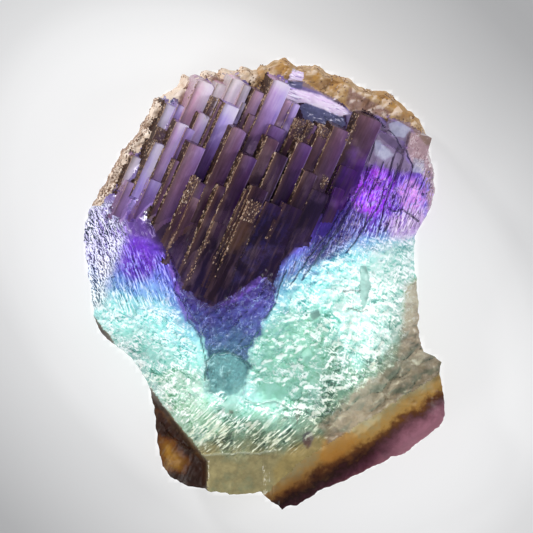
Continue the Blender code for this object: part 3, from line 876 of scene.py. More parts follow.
# Colour fronts across the slab, pixels: the crystal changed colour along these lines as it grew.
# The level runs from 0, dark purple, over violet, blue, aqua and mint to 1, olive.
COLOUR_FRONTS = (
    (0.02, ((150, 120), (200, 150), (250, 150), (300, 170), (320, 190), (260, 220), (180, 190))),
    (0.24, ((84, 250), (110, 244), (140, 236), (165, 244), (356, 194), (372, 180), (395, 172),
            (430, 165))),
    (0.32, ((85, 260), (112, 258), (140, 256), (170, 264), (308, 238), (332, 222), (352, 212),
            (380, 208), (405, 208), (432, 202))),
    (0.42, ((87, 272), (114, 272), (142, 276), (172, 284), (180, 296), (292, 262), (318, 246),
            (345, 236), (375, 226), (405, 222), (428, 218))),
    (0.52, ((89, 286), (116, 288), (144, 293), (171, 302), (188, 318), (284, 280), (305, 268),
            (330, 256), (355, 247), (385, 237), (418, 231))),
    (0.62, ((93, 302), (120, 304), (148, 308), (174, 318), (197, 334), (272, 312), (292, 290),
            (315, 276), (345, 262), (372, 250), (414, 243))),
    (0.76, ((100, 322), (128, 322), (156, 330), (184, 346), (204, 366), (250, 396), (254, 352),
            (276, 330), (300, 308), (335, 286), (372, 272), (416, 268))),
    (0.88, ((120, 366), (150, 392), (170, 416), (212, 416), (250, 420), (300, 418), (345, 385),
            (390, 352), (420, 330))),
    (1.00, ((170, 466), (205, 458), (250, 462), (290, 456), (340, 430), (400, 395), (440, 370))),
)
# Spots and veils of colour, pixels of the photograph, with the softness of their border in mm
PAINT_PX = {
    "pane": (
        (0.2, WINDOWS_PX[0]),
        (0.2, WINDOWS_PX[1]),
    ),
    "plum": (
        (1.6, ((126, 212), (150, 200), (168, 226), (172, 250), (150, 240), (132, 236), (122, 226))),
    ),
    "ash": (
        (2.6, ((348, 112), (368, 112), (404, 140), (414, 172), (398, 176), (372, 170), (356, 184))),
        (0.6, ((386, 118), (412, 132), (410, 146), (386, 134))),
    ),
    "rose": (
        (1.2, ((408, 130), (436, 138), (444, 190), (436, 220), (428, 214), (424, 176), (412, 166),
               (406, 150))),
    ),
    "umber": (
        (0.7, ((340, 98), (380, 102), (410, 116), (428, 130), (438, 144), (426, 146), (412, 130),
               (396, 120), (376, 116), (350, 112))),
        (0.5, ((282, 62), (306, 64), (326, 78), (352, 92), (356, 112), (340, 104), (318, 92), (300, 86),
               (282, 86))),
    ),
    "shaded": (
        (0.4, ((376, 130), (384, 131), (402, 146), (397, 152), (380, 138))),
        (0.6, ((352, 120), (364, 116), (372, 124), (362, 150), (354, 168), (350, 140))),
    ),
    "lilac": (
        (2.0, ((386, 220), (400, 212), (424, 208), (428, 230), (408, 240), (390, 238))),
        (0.8, ((96, 258), (108, 256), (112, 274), (100, 280))),
    ),
    # Pale bluish facets on the blocks of the right flank; the second of them is a painted highlight strip on
    # a block
    "ice": (
        (0.3, ((388, 124), (398, 121), (411, 129), (404, 138), (392, 136))),
        (0.9, ((373, 140), (379, 141), (393, 155), (384, 160), (375, 156))),
        (0.6, ((413, 158), (424, 160), (424, 174), (412, 172))),
    ),
    "violet": (
        (3.2, ((352, 200), (360, 172), (374, 166), (392, 172), (414, 176), (420, 195), (410, 220),
               (384, 234), (352, 236))),
        (2.2, ((122, 250), (136, 238), (152, 248), (158, 262), (150, 278), (132, 280), (120, 268))),
    ),
    "purple": (
        (0.9, ((220, 306), (222, 299), (240, 286), (262, 270), (270, 274), (256, 286), (238, 300))),
        (0.9, ((168, 262), (176, 270), (182, 300), (192, 318), (186, 322), (176, 296))),
    ),
    "dusk": (
        (2.4, ((346, 150), (362, 160), (358, 196), (368, 216), (352, 240), (322, 262), (298, 272),
               (312, 236))),
    ),
    "orchid": (
        (2.2, ((352, 206), (357, 177), (371, 168), (388, 172), (397, 188), (389, 206), (370, 218))),
    ),
    "magenta": (
        (2.6, ((396, 188), (411, 180), (424, 190), (422, 208), (406, 216))),
    ),
    "aqua": (
        (3.0, ((322, 262), (380, 244), (404, 300), (360, 370), (326, 340), (316, 300))),
        (2.5, ((96, 296), (168, 300), (196, 352), (196, 400), (160, 400), (116, 350))),
    ),
    "cream": (
        (1.8, ((156, 376), (176, 366), (200, 372), (206, 400), (222, 432), (196, 446), (168, 424))),
    ),
    # Painted glow: the front painted near white where it shines brightest, along the left rim and on the
    # right of the mint
    "milky": (
        (1.6, ((80, 316), (112, 334), (150, 372), (172, 400), (160, 420), (120, 380), (90, 345))),
        (2.5, ((326, 284), (362, 262), (412, 252), (416, 300), (396, 340), (372, 366), (346, 340))),
        (1.5, ((372, 246), (420, 236), (420, 262), (376, 266))),
    ),
    "slate": (
        (0.5, ((299, 106), (306, 103), (326, 110), (344, 118), (346, 126), (330, 132), (306, 126))),
        (0.4, ((287, 81), (303, 82), (302, 89), (287, 88))),
        (0.5, ((160, 95), (170, 91), (179, 97), (178, 104), (170, 108), (160, 104))),
    ),
    "silver": (
        (2.0, ((76, 202), (112, 205), (121, 222), (124, 240), (118, 260), (108, 280), (104, 304), (82, 312))),
    ),
    # Pale lavender fracture faces catching the light: their own lavender with a painted highlight
    "pale": (
        (0.5, ((285, 89), (300, 90), (322, 96), (342, 106), (350, 114), (340, 117), (322, 109),
               (306, 103), (292, 104), (283, 101))),
        (0.5, ((290, 68), (304, 72), (304, 81), (288, 80))),
    ),
    "sage": (
        (3.0, ((258, 330), (290, 306), (322, 322), (330, 356), (300, 396), (262, 402), (250, 372))),
    ),
    # Small reddish brown spots; the two beside the lower tip of the heart are painted reddish glints
    "tarnish": (
        (0.5, ((303, 437), (309, 435), (311, 441), (308, 449), (304, 446))),
        (0.4, ((296, 405), (299, 404), (301, 412), (297, 424), (295, 416))),
        (0.6, ((208, 301), (215, 299), (216, 304), (211, 308))),
        (0.4, ((181, 277), (185, 279), (187, 285), (183, 283))),
        (0.4, ((229, 409), (234, 410), (233, 414), (229, 413))),
    ),
    "gold": (
        (1.5, ((272, 470), (290, 446), (318, 436), (334, 436), (322, 456), (296, 476), (276, 486))),
        (1.0, ((176, 452), (190, 460), (186, 472), (170, 480), (160, 466))),
    ),
    "honey": (
        (1.4, ((318, 452), (326, 438), (340, 431), (354, 432), (360, 440), (350, 450), (336, 460),
               (324, 464))),
    ),
    "bruise": (
        (0.8, ((302, 434), (310, 430), (314, 438), (310, 447), (303, 443))),
    ),
    "frost": (
        (1.8, ((404, 286), (420, 276), (422, 352), (400, 362))),
    ),
}
# The crust along the upper rim, and its amber spots, mm across and along the lean
CRUST = (
    (-50.0, -3.0), (-39.4, -0.4), (-36.4, 1.0), (-35.6, 3.2), (-34.9, 6.0), (-34.8, 10.0),
    (-33.8, 14.0), (-32.4, 20.0), (-32.0, 24.2), (-32.2, 26.6), (-31.0, 27.0),
    (-30.0, 25.6), (-29.2, 23.8), (-28.9, 31.8), (-27.0, 32.9), (-25.2, 32.2), (-24.8, 30.6),
    (-23.2, 33.4), (-22.4, 35.4), (-19.8, 35.7), (-18.7, 35.0), (-18.5, 30.6), (-17.6, 35.2),
    (-15.3, 35.4), (-14.9, 38.6), (-12.2, 39.4), (-12.4, 41.9), (-9.6, 41.9), (-9.4, 40.2),
    (-6.5, 39.9), (-2.0, 39.8), (0.4, 39.2), (2.4, 38.6), (3.0, 39.8), (6.4, 40.4), (9.0, 39.9),
    (9.8, 41.0), (12.5, 41.1), (17.0, 40.6), (22.0, 41.0), (22.0, 60.0), (-50.0, 60.0),
)
AMBER_SPOTS = (
    ((-4.6, 44.4), (-1.6, 44.0), (-2.4, 40.9), (-4.2, 41.0)),
    ((-15.4, 43.5), (-12.0, 43.2), (-13.0, 40.0), (-15.6, 40.2)),
    ((-18.6, 39.2), (-16.0, 38.6), (-16.4, 35.8), (-18.4, 36.4)),
    ((4.6, 45.6), (15.6, 43.4), (16.8, 41.8), (10.0, 42.6), (5.0, 43.2)),
    ((-25.3, 35.0), (-23.8, 34.6), (-24.2, 32.8), (-25.4, 33.2)),
    ((-8.2, 43.0), (-6.8, 43.0), (-6.8, 41.2), (-8.0, 41.4)),
)
MAUVE_SMEAR = ((-0.4, 42.8), (9.0, 41.9), (9.4, 40.4), (3.0, 39.6), (2.2, 38.4), (0.2, 39.6))


def zone_at(x, y):
    """Level of the colour fronts, spread between them as smoothly as a bent thin plate."""
    places = np.vstack([from_photo(route) for _, route in COLOUR_FRONTS])
    levels = np.concatenate([np.full(len(route), level) for level, route in COLOUR_FRONTS])

    def stiff(gap):
        return gap * gap * np.log(np.maximum(gap, 1e-6))

    count = len(places)
    gaps = np.hypot(*(places[:, None] - places[None]).transpose(2, 0, 1))
    system = np.zeros((count + 3, count + 3))
    system[:count, :count] = stiff(gaps) + 6.0 * np.eye(count)
    system[:count, count] = system[count, :count] = 1.0
    system[:count, count + 1:] = places
    system[count + 1:, :count] = places.T
    weights = np.linalg.solve(system, np.concatenate([levels, np.zeros(3)]))
    total = weights[count] + weights[count + 1] * x + weights[count + 2] * y
    for (px, py), weight in zip(places, weights):
        total = total + weight * stiff(np.hypot(x - px, y - py))
    return np.clip(total, 0.0, 1.0)


def put_attribute(mesh, name, values, domain="POINT"):
    layer = mesh.attributes.new(name, "FLOAT", domain)
    layer.data.foreach_set("value", np.asarray(values, np.float32))


def read_mesh(things, field, width=3):
    values = np.empty(len(things) * width, np.float32)
    things.foreach_get(field, values)
    return values.reshape(-1, width).astype(float)


BAND_START = -2.6  # mm before the amber band's inner line
SLAB, FACE, NARROW, BROAD, TIP = range(5)
CLEAR, SATIN, SUGARED, CRUSTED, BANDED, CLOUDED = range(6)


def sort_faces(centres, normals):
    """For each face the prism it belongs to (-1 for the slab) and which side of it."""
    best = np.full(len(centres), 0.45)
    owner = np.full(len(centres), -1)
    kind = np.full(len(centres), SLAB)
    for number, (left, right, tip, foot, height, depth) in enumerate(all_columns()):
        corner, across, length, facing = column_frame(left, tip, height)
        width = (right - left) / math.cos(TURN)
        reach = (tip - foot) / math.cos(TILT)
        offset = centres - corner
        a, b, c = offset @ across, -(offset @ length), -(offset @ facing)
        near = (a > -0.4) & (a < width + 0.4) & (b > -0.5) & (b < reach + 0.3) & (c > -0.4)
        near &= c < depth + 0.3
        for side, gap, aim in (
            (FACE, np.abs(c), facing),
            (NARROW, np.abs(a), -across),
            (BROAD, np.abs(a - width), across),
            (TIP, np.abs(b), length),
        ):
            hit = near & (gap < best) & (normals @ aim > 0.55)
            best[hit] = gap[hit]
            owner[hit] = number
            kind[hit] = side
    return owner, kind


def mask_front(mesh, x, y):
    """Stores where the front's colours, relief and bands are, and where its relief gets painted highlight and
    shade.
    """
    put_attribute(mesh, "zone", zone_at(x, y))
    for name, spots in PAINT_PX.items():
        amount = np.zeros(len(x))
        for soft, corners in spots:
            amount = np.maximum(amount, region(x, y, corners, soft))
        put_attribute(mesh, name, amount)
    upward = blend(0.1, 0.4, read_mesh(mesh.vertex_normals, "vector")[:, 2])
    shares, rough, open_cracks, ridges = skin_shares(x, y)
    painted_highlight, shadow = np.zeros(len(x)), np.zeros(len(x))
    for share, (name, _, _, painted_highlight_amount, painted_shade_amount) in zip(shares, SKINS):
        put_attribute(mesh, name, share * upward * rough)
        painted_highlight = np.maximum(painted_highlight, painted_highlight_amount * share * upward)
        shadow = np.maximum(shadow, painted_shade_amount * share * upward)

    def relief(dx, dy):
        return skin_relief(x + dx, y + dy, shares, rough, open_cracks, ridges)

    # Painted light of the relief: sides facing the light and the ridges get a painted highlight, sides turned
    # away and hollows get painted shade
    here = relief(0.0, 0.0)
    facing = np.zeros(len(x))
    for step in (0.14, 0.4):
        facing += 0.6 * (here - relief(LIGHT_SIDE[0] * step, LIGHT_SIDE[1] * step)) / step
    step = 0.16
    around = relief(step, 0.0) + relief(-step, 0.0) + relief(0.0, step) + relief(0.0, -step)
    put_attribute(mesh, "painted_highlight", np.maximum(painted_highlight * blend(0.05, 0.60, facing), 0.45 * ridges * upward))
    put_attribute(mesh, "painted_lee_shade", shadow * blend(0.05, 0.70, -facing))
    hollow = blend(0.35, 1.5, (around - 4.0 * here) / step)
    put_attribute(mesh, "painted_fold", shadow * hollow)
    put_attribute(mesh, "crack", open_cracks * upward)
    put_attribute(mesh, "rough", np.clip(sum(shares), 0.0, 1.0) * rough)
    put_attribute(mesh, "inner", np.clip((5.0 - (y + 2.6)) / 25.0, 0.0, 1.0))
    reach = 2.2 - 1.4 * blend(2.0, 8.0, x)
    put_attribute(mesh, "gloom", 1.0 - blend(0.0, 1.0, heart_gap(x, y) / reach))
    put_attribute(mesh, "band", np.clip(0.5 + (amber_edge(x, y) - 0.9) / 12.0, 0.0, 1.0))
    put_attribute(mesh, "rosy", 0.75 * blend(20.0, 30.0, x))
    put_attribute(mesh, "lobe", blend(-0.6, 0.8, amber_lobe(x, y)))
    put_attribute(mesh, "amber", strongest(x, y, [from_lean(spot) for spot in AMBER_SPOTS], 0.7))
    put_attribute(mesh, "dusting", strongest(x, y, [from_lean(patch) for patch in SUGAR_PATCHES], 0.3))
    # Painted glow along the outer rim, strongest on the left
    put_attribute(mesh, "painted_rim_glow", blend(0.84, 0.97, way_out(x, y)[1]) * blend(6.0, -12.0, x))
    put_attribute(mesh, "mauve", area(x, y, from_lean(MAUVE_SMEAR), 0.9))
    for name, corners, soft in (
        ("glow", LOBE_GLOW_PX, 1.6), ("wisps", WISPS_PX, 2.5), ("ember", EMBER_PX, 1.6),
        ("flare", FLARE_PX, 3.6), ("lens", LENS_PX, 0.5),
    ):
        put_attribute(mesh, name, region(x, y, corners, soft))
    tipward = 1.0 - blend(4.0, 26.0, np.hypot(x - 4.2, y + 44.4))
    put_attribute(mesh, "tipward", tipward * blend(-2.4, 1.2, amber_edge(x, y)))


def mask_columns(mesh, places, owner, kind):
    """Stores each column's shade, pinkness and the distances from its edges."""
    x, y, _ = places.T
    heart = region(x, y, HEART_PX, 1.2)
    depth = y * math.cos(LEAN) + x * math.sin(LEAN)
    beside = x * math.cos(LEAN) - y * math.sin(LEAN)
    put_attribute(mesh, "core", np.exp(-(((beside + 8.8) / 12.0) ** 2) - ((depth - 5.5) / 16.0) ** 2))

    loops = read_mesh(mesh.loops, "vertex_index", 1)[:, 0].astype(int)
    sizes = read_mesh(mesh.polygons, "loop_total", 1)[:, 0].astype(int)
    held = np.repeat(owner, sizes)
    held_kind = np.repeat(kind, sizes)
    spots = places[loops]
    shade = (0.60 + 0.28 * heart)[loops]
    pink = (0.08 + 0.6 * heart * blend(-6.0, 4.0, depth))[loops]
    tip_gap = np.full(len(loops), 5.0)
    far_gap = np.full(len(loops), 5.0)
    edge_gap = np.full(len(loops), 5.0)
    for number, prism in enumerate(all_columns()[:len(COLUMNS)]):
        left, right, tip, foot, height, _ = prism
        mine = held == number
        corner, across, length, _ = column_frame(left, tip, height)
        down = -((spots[mine] - corner) @ length)
        over = (spots[mine] - corner) @ across
        _, _, _, _, _, shade_tip, shade_foot, pinkness, _, _ = COLUMNS[number]
        share = np.clip(1.25 * down / (tip - foot), 0.0, 1.0)
        shade[mine] = shade_tip + (shade_foot - shade_tip) * share
        across_share = 1.0 - 2.0 * over / (right - left)
        pink[mine] = pinkness + 0.45 * across_share * blend(0.1, 0.5, pinkness)
        shade[mine] += 0.05 * across_share - 0.06 * (1.0 - blend(0.0, 3.0, down))
        tip_gap[mine] = np.maximum(down, 0.0)
        far_gap[mine] = np.where(held_kind[mine] == FACE, (right - left) / math.cos(TURN) - over, 5.0)
        edge_gap[mine] = np.where(held_kind[mine] == FACE, np.maximum(over, 0.0), 0.3)
        edge_gap[mine] += 5.0 * ((held_kind[mine] == BROAD) | (held_kind[mine] == TIP)) + 0.25 * share**2
    lost = 1.0 - blend(-4.0, 4.0, (depth + 2.6 - 1.31 * (beside + 16.1))[loops])
    edge_gap = edge_gap + 0.5 * lost
    # Columns towards the upper left are painted paler, a painted glow
    shade = shade - 0.12 * blend(-4.0, -26.0, beside[loops]) * blend(0.0, 12.0, depth[loops])
    shade = shade + 0.28 * (held_kind == TIP) + 0.12 * (held_kind == BROAD) + 0.12 * lost
    put_attribute(mesh, "shade", np.clip(shade, 0.0, 1.0), "CORNER")
    put_attribute(mesh, "pink", np.clip(pink, 0.0, 1.0), "CORNER")
    put_attribute(mesh, "tip_gap", tip_gap, "CORNER")
    put_attribute(mesh, "edge_gap", edge_gap, "CORNER")
    put_attribute(mesh, "far_gap", far_gap + 1.2 * lost, "CORNER")
    put_attribute(mesh, "filmed", 0.6 + 0.4 * blend(-10.0, 10.0, depth))


def give_materials(mesh, centres, normals, owner, kind):
    """Gives each face its material, and stores where sugar grows."""
    cx, cy, cz = centres.T
    fray = bumps(cx, cy, 2.5, 301) + 0.5 * bumps(cx, cy, 0.9, 302)
    slot = np.full(len(centres), CLEAR)
    heart_face = region(cx + 0.25 * fray, cy + 0.15 * fray, HEART_PX, 0.05) > 0.5
    slot[heart_face & (cz > 9.0)] = SATIN
    for name in ("pale", "slate"):
        for _, corners in PAINT_PX[name]:
            slot[region(cx, cy, corners, 0.05) > 0.5] = CLEAR
    column = (owner >= 0) & (owner < len(COLUMNS))
    share = np.zeros(len(centres))
    for number, (left, _, tip, foot, height, _) in enumerate(all_columns()[:len(COLUMNS)]):
        corner, _, length, _ = column_frame(left, tip, height)
        share = np.where(owner == number, (corner - centres) @ length / (tip - foot - REACH_ON), share)
    column &= (share < 0.97) | heart_face
    slot[column & (kind != NARROW)] = SATIN
    sugar_of = np.array([c[9] for c in COLUMNS])
    slot[column & (kind == NARROW) & (sugar_of[np.clip(owner, 0, len(COLUMNS) - 1)] > 0.4)] = SUGARED
    slot[column & (kind == NARROW) & (slot == CLEAR)] = SATIN
    block = (owner >= len(COLUMNS)) & (owner < len(COLUMNS) + len(CLEAR_BLOCKS))
    slot[block] = CLEAR
    slot[(owner == len(COLUMNS) + len(CLEAR_BLOCKS) - 1) & (cy > 12.0)] = SATIN
    slot[(owner >= 0) & (owner < len(COLUMNS)) & (slot == CLEAR)] = CLOUDED
    crusted = area(cx + 0.3 * fray, cy - 0.3 * fray, from_lean(CRUST), 0.05) > 0.5
    slot[crusted & (owner < 0) & (cz > 2.5)] = CRUSTED
    slot[crusted & (owner >= len(COLUMNS) + len(CLEAR_BLOCKS))] = CRUSTED
    slot[(owner < 0) & (cy < -30.0)] = CLOUDED
    for _, corners in PAINT_PX["silver"] + PAINT_PX["plum"]:
        slot[(slot == CLEAR) & (region(cx, cy, corners, 0.05) > 0.5)] = CLOUDED
    band_start = BAND_START + 2.0 * blend(8.0, 0.0, cx)
    slot[(owner < 0) & (amber_edge(cx, cy) + 0.4 * fray > band_start)] = BANDED
    slot[(owner < 0) & (amber_lobe(cx, cy) + 0.3 * fray > 0.3)] = BANDED
    mesh.polygons.foreach_set("material_index", slot.astype(np.int32))

    # where sugar grows: narrow sides, patches, a little on the crust; and along leading edges
    sugar = np.zeros(len(centres))
    narrow = column & (kind == NARROW)
    towards_foot = 1.0 - blend(0.7, 0.95, share)
    sugar[narrow] = sugar_of[owner[narrow]] * blend(-0.5, 0.3, fray[narrow]) * towards_foot[narrow]
    for corners in SUGAR_PATCHES:
        patch = area(cx, cy, from_lean(corners), 0.3) * blend(-0.9, 0.4, fray)
        sugar = np.maximum(sugar, patch * (normals[:, 2] > 0.1))
    left_rim = blend(-33.0, -35.5, cx * math.cos(LEAN) - cy * math.sin(LEAN))
    crumbs = (0.35 + 0.6 * left_rim) * blend(-1.2 * left_rim, 0.5 - 0.5 * left_rim, fray)
    sugar = np.maximum(sugar, crumbs * (slot == CRUSTED) * (normals[:, 2] > -0.2))
    ridge = np.zeros(len(centres))
    for number, (left, _, tip, foot, height, _) in enumerate(all_columns()[:len(COLUMNS)]):
        corner, across, length, facing = column_frame(left, tip, height)
        offset = centres - corner
        a, b, c = offset @ across, -(offset @ length), -(offset @ facing)
        near = (owner == number) & (a < 0.36) & (c < 0.60) & (b < tip - foot)
        broken = blend(-0.60, -0.05, bumps(b, 0.0 * b + 3.0 * number, 1.3, 311))
        ridge = np.where(near, COLUMNS[number][9] * broken * towards_foot, ridge)
        sugar = np.where((owner == number) & narrow, sugar * (1.0 - 0.75 * blend(0.4, 1.6, c)), sugar)
    put_attribute(mesh, "ridge", ridge, "FACE")
    put_attribute(mesh, "sugar", sugar, "FACE")


def paint_masks(mesh):
    """Stores what the materials read, and gives each face its material."""
    places = read_mesh(mesh.vertices, "co") / MM
    centres = read_mesh(mesh.polygons, "center") / MM
    normals = read_mesh(mesh.polygons, "normal")
    owner, kind = sort_faces(centres, normals)
    mask_front(mesh, *places.T[:2])
    mask_columns(mesh, places, owner, kind)
    give_materials(mesh, centres, normals, owner, kind)


def linear(code):
    """Linear colour from the six hexadecimal digits of a screen colour."""
    shares = [int(code[i:i + 2], 16) / 255.0 for i in (0, 2, 4)]
    return tuple(s / 12.92 if s <= 0.04045 else ((s + 0.055) / 1.055) ** 2.4 for s in shares) + (1.0,)


def new_group(name, inputs, outputs):
    """An empty shader group with its sockets, and its two end nodes."""
    group = bpy.data.node_groups.new(name, "ShaderNodeTree")
    for title, kind, value in inputs:
        socket = group.interface.new_socket(title, in_out="INPUT", socket_type=kind)
        socket.default_value = value
    for title, kind in outputs:
        group.interface.new_socket(title, in_out="OUTPUT", socket_type=kind)
    return group, group.nodes.new("NodeGroupInput"), group.nodes.new("NodeGroupOutput")


def group_math(group, operation, *values):
    """A math node in a group, fed with numbers and sockets."""
    node = group.nodes.new("ShaderNodeMath")
    node.operation = operation
    for value, socket in zip(values, node.inputs):
        if isinstance(value, float):
            socket.default_value = value
        else:
            group.links.new(value, socket)
    return node.outputs[0]


def sized_texture(group, start, kind, **settings):
    """A texture node whose features have the group's Size."""
    node = group.nodes.new(kind)
    for title, value in settings.items():
        node.inputs[title].default_value = value
    place = group.nodes.new("ShaderNodeTexCoord")
    group.links.new(place.outputs["Object"], node.inputs["Vector"])
    group.links.new(group_math(group, "DIVIDE", 1.0, start.outputs["Size"]), node.inputs["Scale"])
    return node


def cloud_group():
    """A value shifted up and down by cloudy noise: Value, Size in metres, Amount."""
    group, start, end = new_group(
        "cloudy_shift",
        (("Value", "NodeSocketFloat", 0.5), ("Size", "NodeSocketFloat", 0.002),
         ("Amount", "NodeSocketFloat", 0.1)),
        (("Value", "NodeSocketFloat"),),
    )
    noise = sized_texture(group, start, "ShaderNodeTexNoise", Detail=4.0, Roughness=0.6)
    centred = group_math(group, "SUBTRACT", noise.outputs["Fac"], 0.5)
    value = group_math(group, "MULTIPLY_ADD", centred, start.outputs["Amount"], start.outputs["Value"])
    group.links.new(value, end.inputs["Value"])
    return group


def crackle_group():
    """Fine broken relief: the Height of wrinkles of a Size, with small flat chips among them."""
    group, start, end = new_group(
        "fine_fracture",
        (("Size", "NodeSocketFloat", 0.0006), ("Chips", "NodeSocketFloat", 0.5)),
        (("Height", "NodeSocketFloat"),),
    )
    noise = sized_texture(
        group, start, "ShaderNodeTexNoise", Detail=4.0, Roughness=0.62, Distortion=0.6
    )
    cells = sized_texture(group, start, "ShaderNodeTexVoronoi")
    folded = group_math(group, "ABSOLUTE", group_math(group, "SUBTRACT", noise.outputs["Fac"], 0.5))
    height = group_math(
        group, "MULTIPLY_ADD", cells.outputs["Distance"], start.outputs["Chips"], folded
    )
    group.links.new(height, end.inputs["Height"])
    return group


CLOUD = cloud_group()
CRACKLE = crackle_group()


class Finish:
    """A material under construction, with short ways to place its nodes."""

    def __init__(self, name, rough, transmission, mirror=0.5):
        self.material = bpy.data.materials.new(name)
        self.material.use_nodes = True
        self.tree = self.material.node_tree
        self.shader = self.tree.nodes["Principled BSDF"]
        self.shader.inputs["Roughness"].default_value = rough
        self.shader.inputs["IOR"].default_value = FLUORITE_IOR
        self.shader.inputs["Transmission Weight"].default_value = transmission
        self.shader.inputs["Specular IOR Level"].default_value = mirror
        self.coordinates = self.tree.nodes.new("ShaderNodeTexCoord").outputs["Object"]

    def link(self, source, target):
        if isinstance(source, (int, float, tuple)):
            target.default_value = source
        else:
            self.tree.links.new(source, target)

    def attribute(self, name):
        node = self.tree.nodes.new("ShaderNodeAttribute")
        node.attribute_name = name
        return node.outputs["Fac"]

    def cloudy(self, value, size, amount):
        node = self.tree.nodes.new("ShaderNodeGroup")
        node.node_tree = CLOUD
        node.inputs["Size"].default_value = size * MM
        node.inputs["Amount"].default_value = amount
        self.link(value, node.inputs["Value"])
        return node.outputs["Value"]

    def crackle(self, size, chips):
        node = self.tree.nodes.new("ShaderNodeGroup")
        node.node_tree = CRACKLE
        node.inputs["Size"].default_value = size * MM
        node.inputs["Chips"].default_value = chips
        return node.outputs["Height"]

    def drawn_out(self, stretch, turn, source=None):
        """Coordinates drawn out along a direction, degrees from the photograph's up."""
        mapping = self.tree.nodes.new("ShaderNodeMapping")
        mapping.vector_type = "TEXTURE"
        mapping.inputs["Rotation"].default_value = (0.0, 0.0, math.radians(turn))
        mapping.inputs["Scale"].default_value = (1.0, stretch, 1.0)
        self.link(source or self.coordinates, mapping.inputs["Vector"])
        return mapping.outputs["Vector"]

    def noise(self, place, size, detail, curl=0.0):
        node = self.tree.nodes.new("ShaderNodeTexNoise")
        node.inputs["Scale"].default_value = 1.0 / (size * MM)
        node.inputs["Detail"].default_value = detail
        node.inputs["Distortion"].default_value = curl
        self.link(place, node.inputs["Vector"])
        return node.outputs["Fac"]

    def streaks(self, size, stretch, turn):
        return self.noise(self.drawn_out(stretch, turn), size, 3.0)

    def lit_relief(self, size, stretch, turn, curl):
        """Fine relief as light from the upper left shows it: 0 where it is level."""
        aim = Vector((*LIGHT_SIDE, 0.0))
        if stretch > 2.5:
            across = Vector((math.cos(math.radians(turn)), math.sin(math.radians(turn)), 0.0))
            aim = across if across.dot(aim) > 0.0 else -across
        sides = []
        for step in (-0.25, 0.25):
            move = self.tree.nodes.new("ShaderNodeVectorMath")
            move.operation = "ADD"
            move.inputs[1].default_value = aim * step * size * MM
            self.link(self.coordinates, move.inputs[0])
            sides.append(self.noise(self.drawn_out(stretch, turn, move.outputs[0]), size, 2.0, curl))
        return self.math("SUBTRACT", *sides)

    def crests(self, size, width, stretch=1.0, turn=0.0, curl=0.8):
        """Thin lines, as where crumpled foil folds over."""
        noise = self.noise(self.drawn_out(stretch, turn), size, 2.0, curl)
        painted_fold = self.math("ABSOLUTE", self.math("SUBTRACT", noise, 0.5))
        return self.ramp(painted_fold, (0.0, 1.0), (width, 0.0))

    def cells(self, size):
        node = self.tree.nodes.new("ShaderNodeTexVoronoi")
        self.link(self.coordinates, node.inputs["Vector"])
        node.inputs["Scale"].default_value = 1.0 / (size * MM)
        return node.outputs["Distance"]

    def ramp(self, value, *stops):
        node = self.tree.nodes.new("ShaderNodeValToRGB")
        band = node.color_ramp
        while len(band.elements) < len(stops):
            band.elements.new(0.5)
        for element, (place, shade) in zip(band.elements, stops):
            element.position = place
            element.color = linear(shade) if isinstance(shade, str) else (shade, shade, shade, 1.0)
        self.link(value, node.inputs["Fac"])
        return node.outputs["Color"]

    def mix(self, amount, under, over, mode="MIX"):
        node = self.tree.nodes.new("ShaderNodeMix")
        node.data_type = "RGBA"
        node.blend_type = mode
        self.link(amount, node.inputs[0])
        self.link(linear(under) if isinstance(under, str) else under, node.inputs[6])
        self.link(linear(over) if isinstance(over, str) else over, node.inputs[7])
        return node.outputs[2]

    def math(self, operation, *values):
        node = self.tree.nodes.new("ShaderNodeMath")
        node.operation = operation
        for value, socket in zip(values, node.inputs):
            self.link(value, socket)
        return node.outputs[0]

    def times(self, value, factor):
        return self.math("MULTIPLY", value, factor)

    def veil(self, name, size, amount, *stops):
        """An attribute broken up by noise and put through a ramp."""
        return self.ramp(self.cloudy(self.attribute(name), size, amount), *stops)

    def painted(self, body, name, tint, strength=1.0, size=1.2, amount=0.5):
        """Body with a painted spot of a tint over it, its border broken up by noise."""
        return self.mix(self.veil(name, size, amount, (0.28, 0.0), (0.75, strength)), body, tint)

    def coats(self, body, *spots):
        """Body with one painted spot after another."""
        for spot in spots:
            body = self.painted(body, *spot)
        return body

    def bump(self, height, depth, under=None):
        """Relief of a depth in millimetres."""
        node = self.tree.nodes.new("ShaderNodeBump")
        node.inputs["Strength"].default_value = 1.0
        node.inputs["Distance"].default_value = depth * MM
        self.link(height, node.inputs["Height"])
        if under is not None:
            self.link(under, node.inputs["Normal"])
        return node.outputs["Normal"]

    def finish(self, base, normal=None, rough=None):
        self.link(base, self.shader.inputs["Base Color"])
        if normal is not None:
            self.link(normal, self.shader.inputs["Normal"])
        if rough is not None:
            self.link(rough, self.shader.inputs["Roughness"])
        return self.material


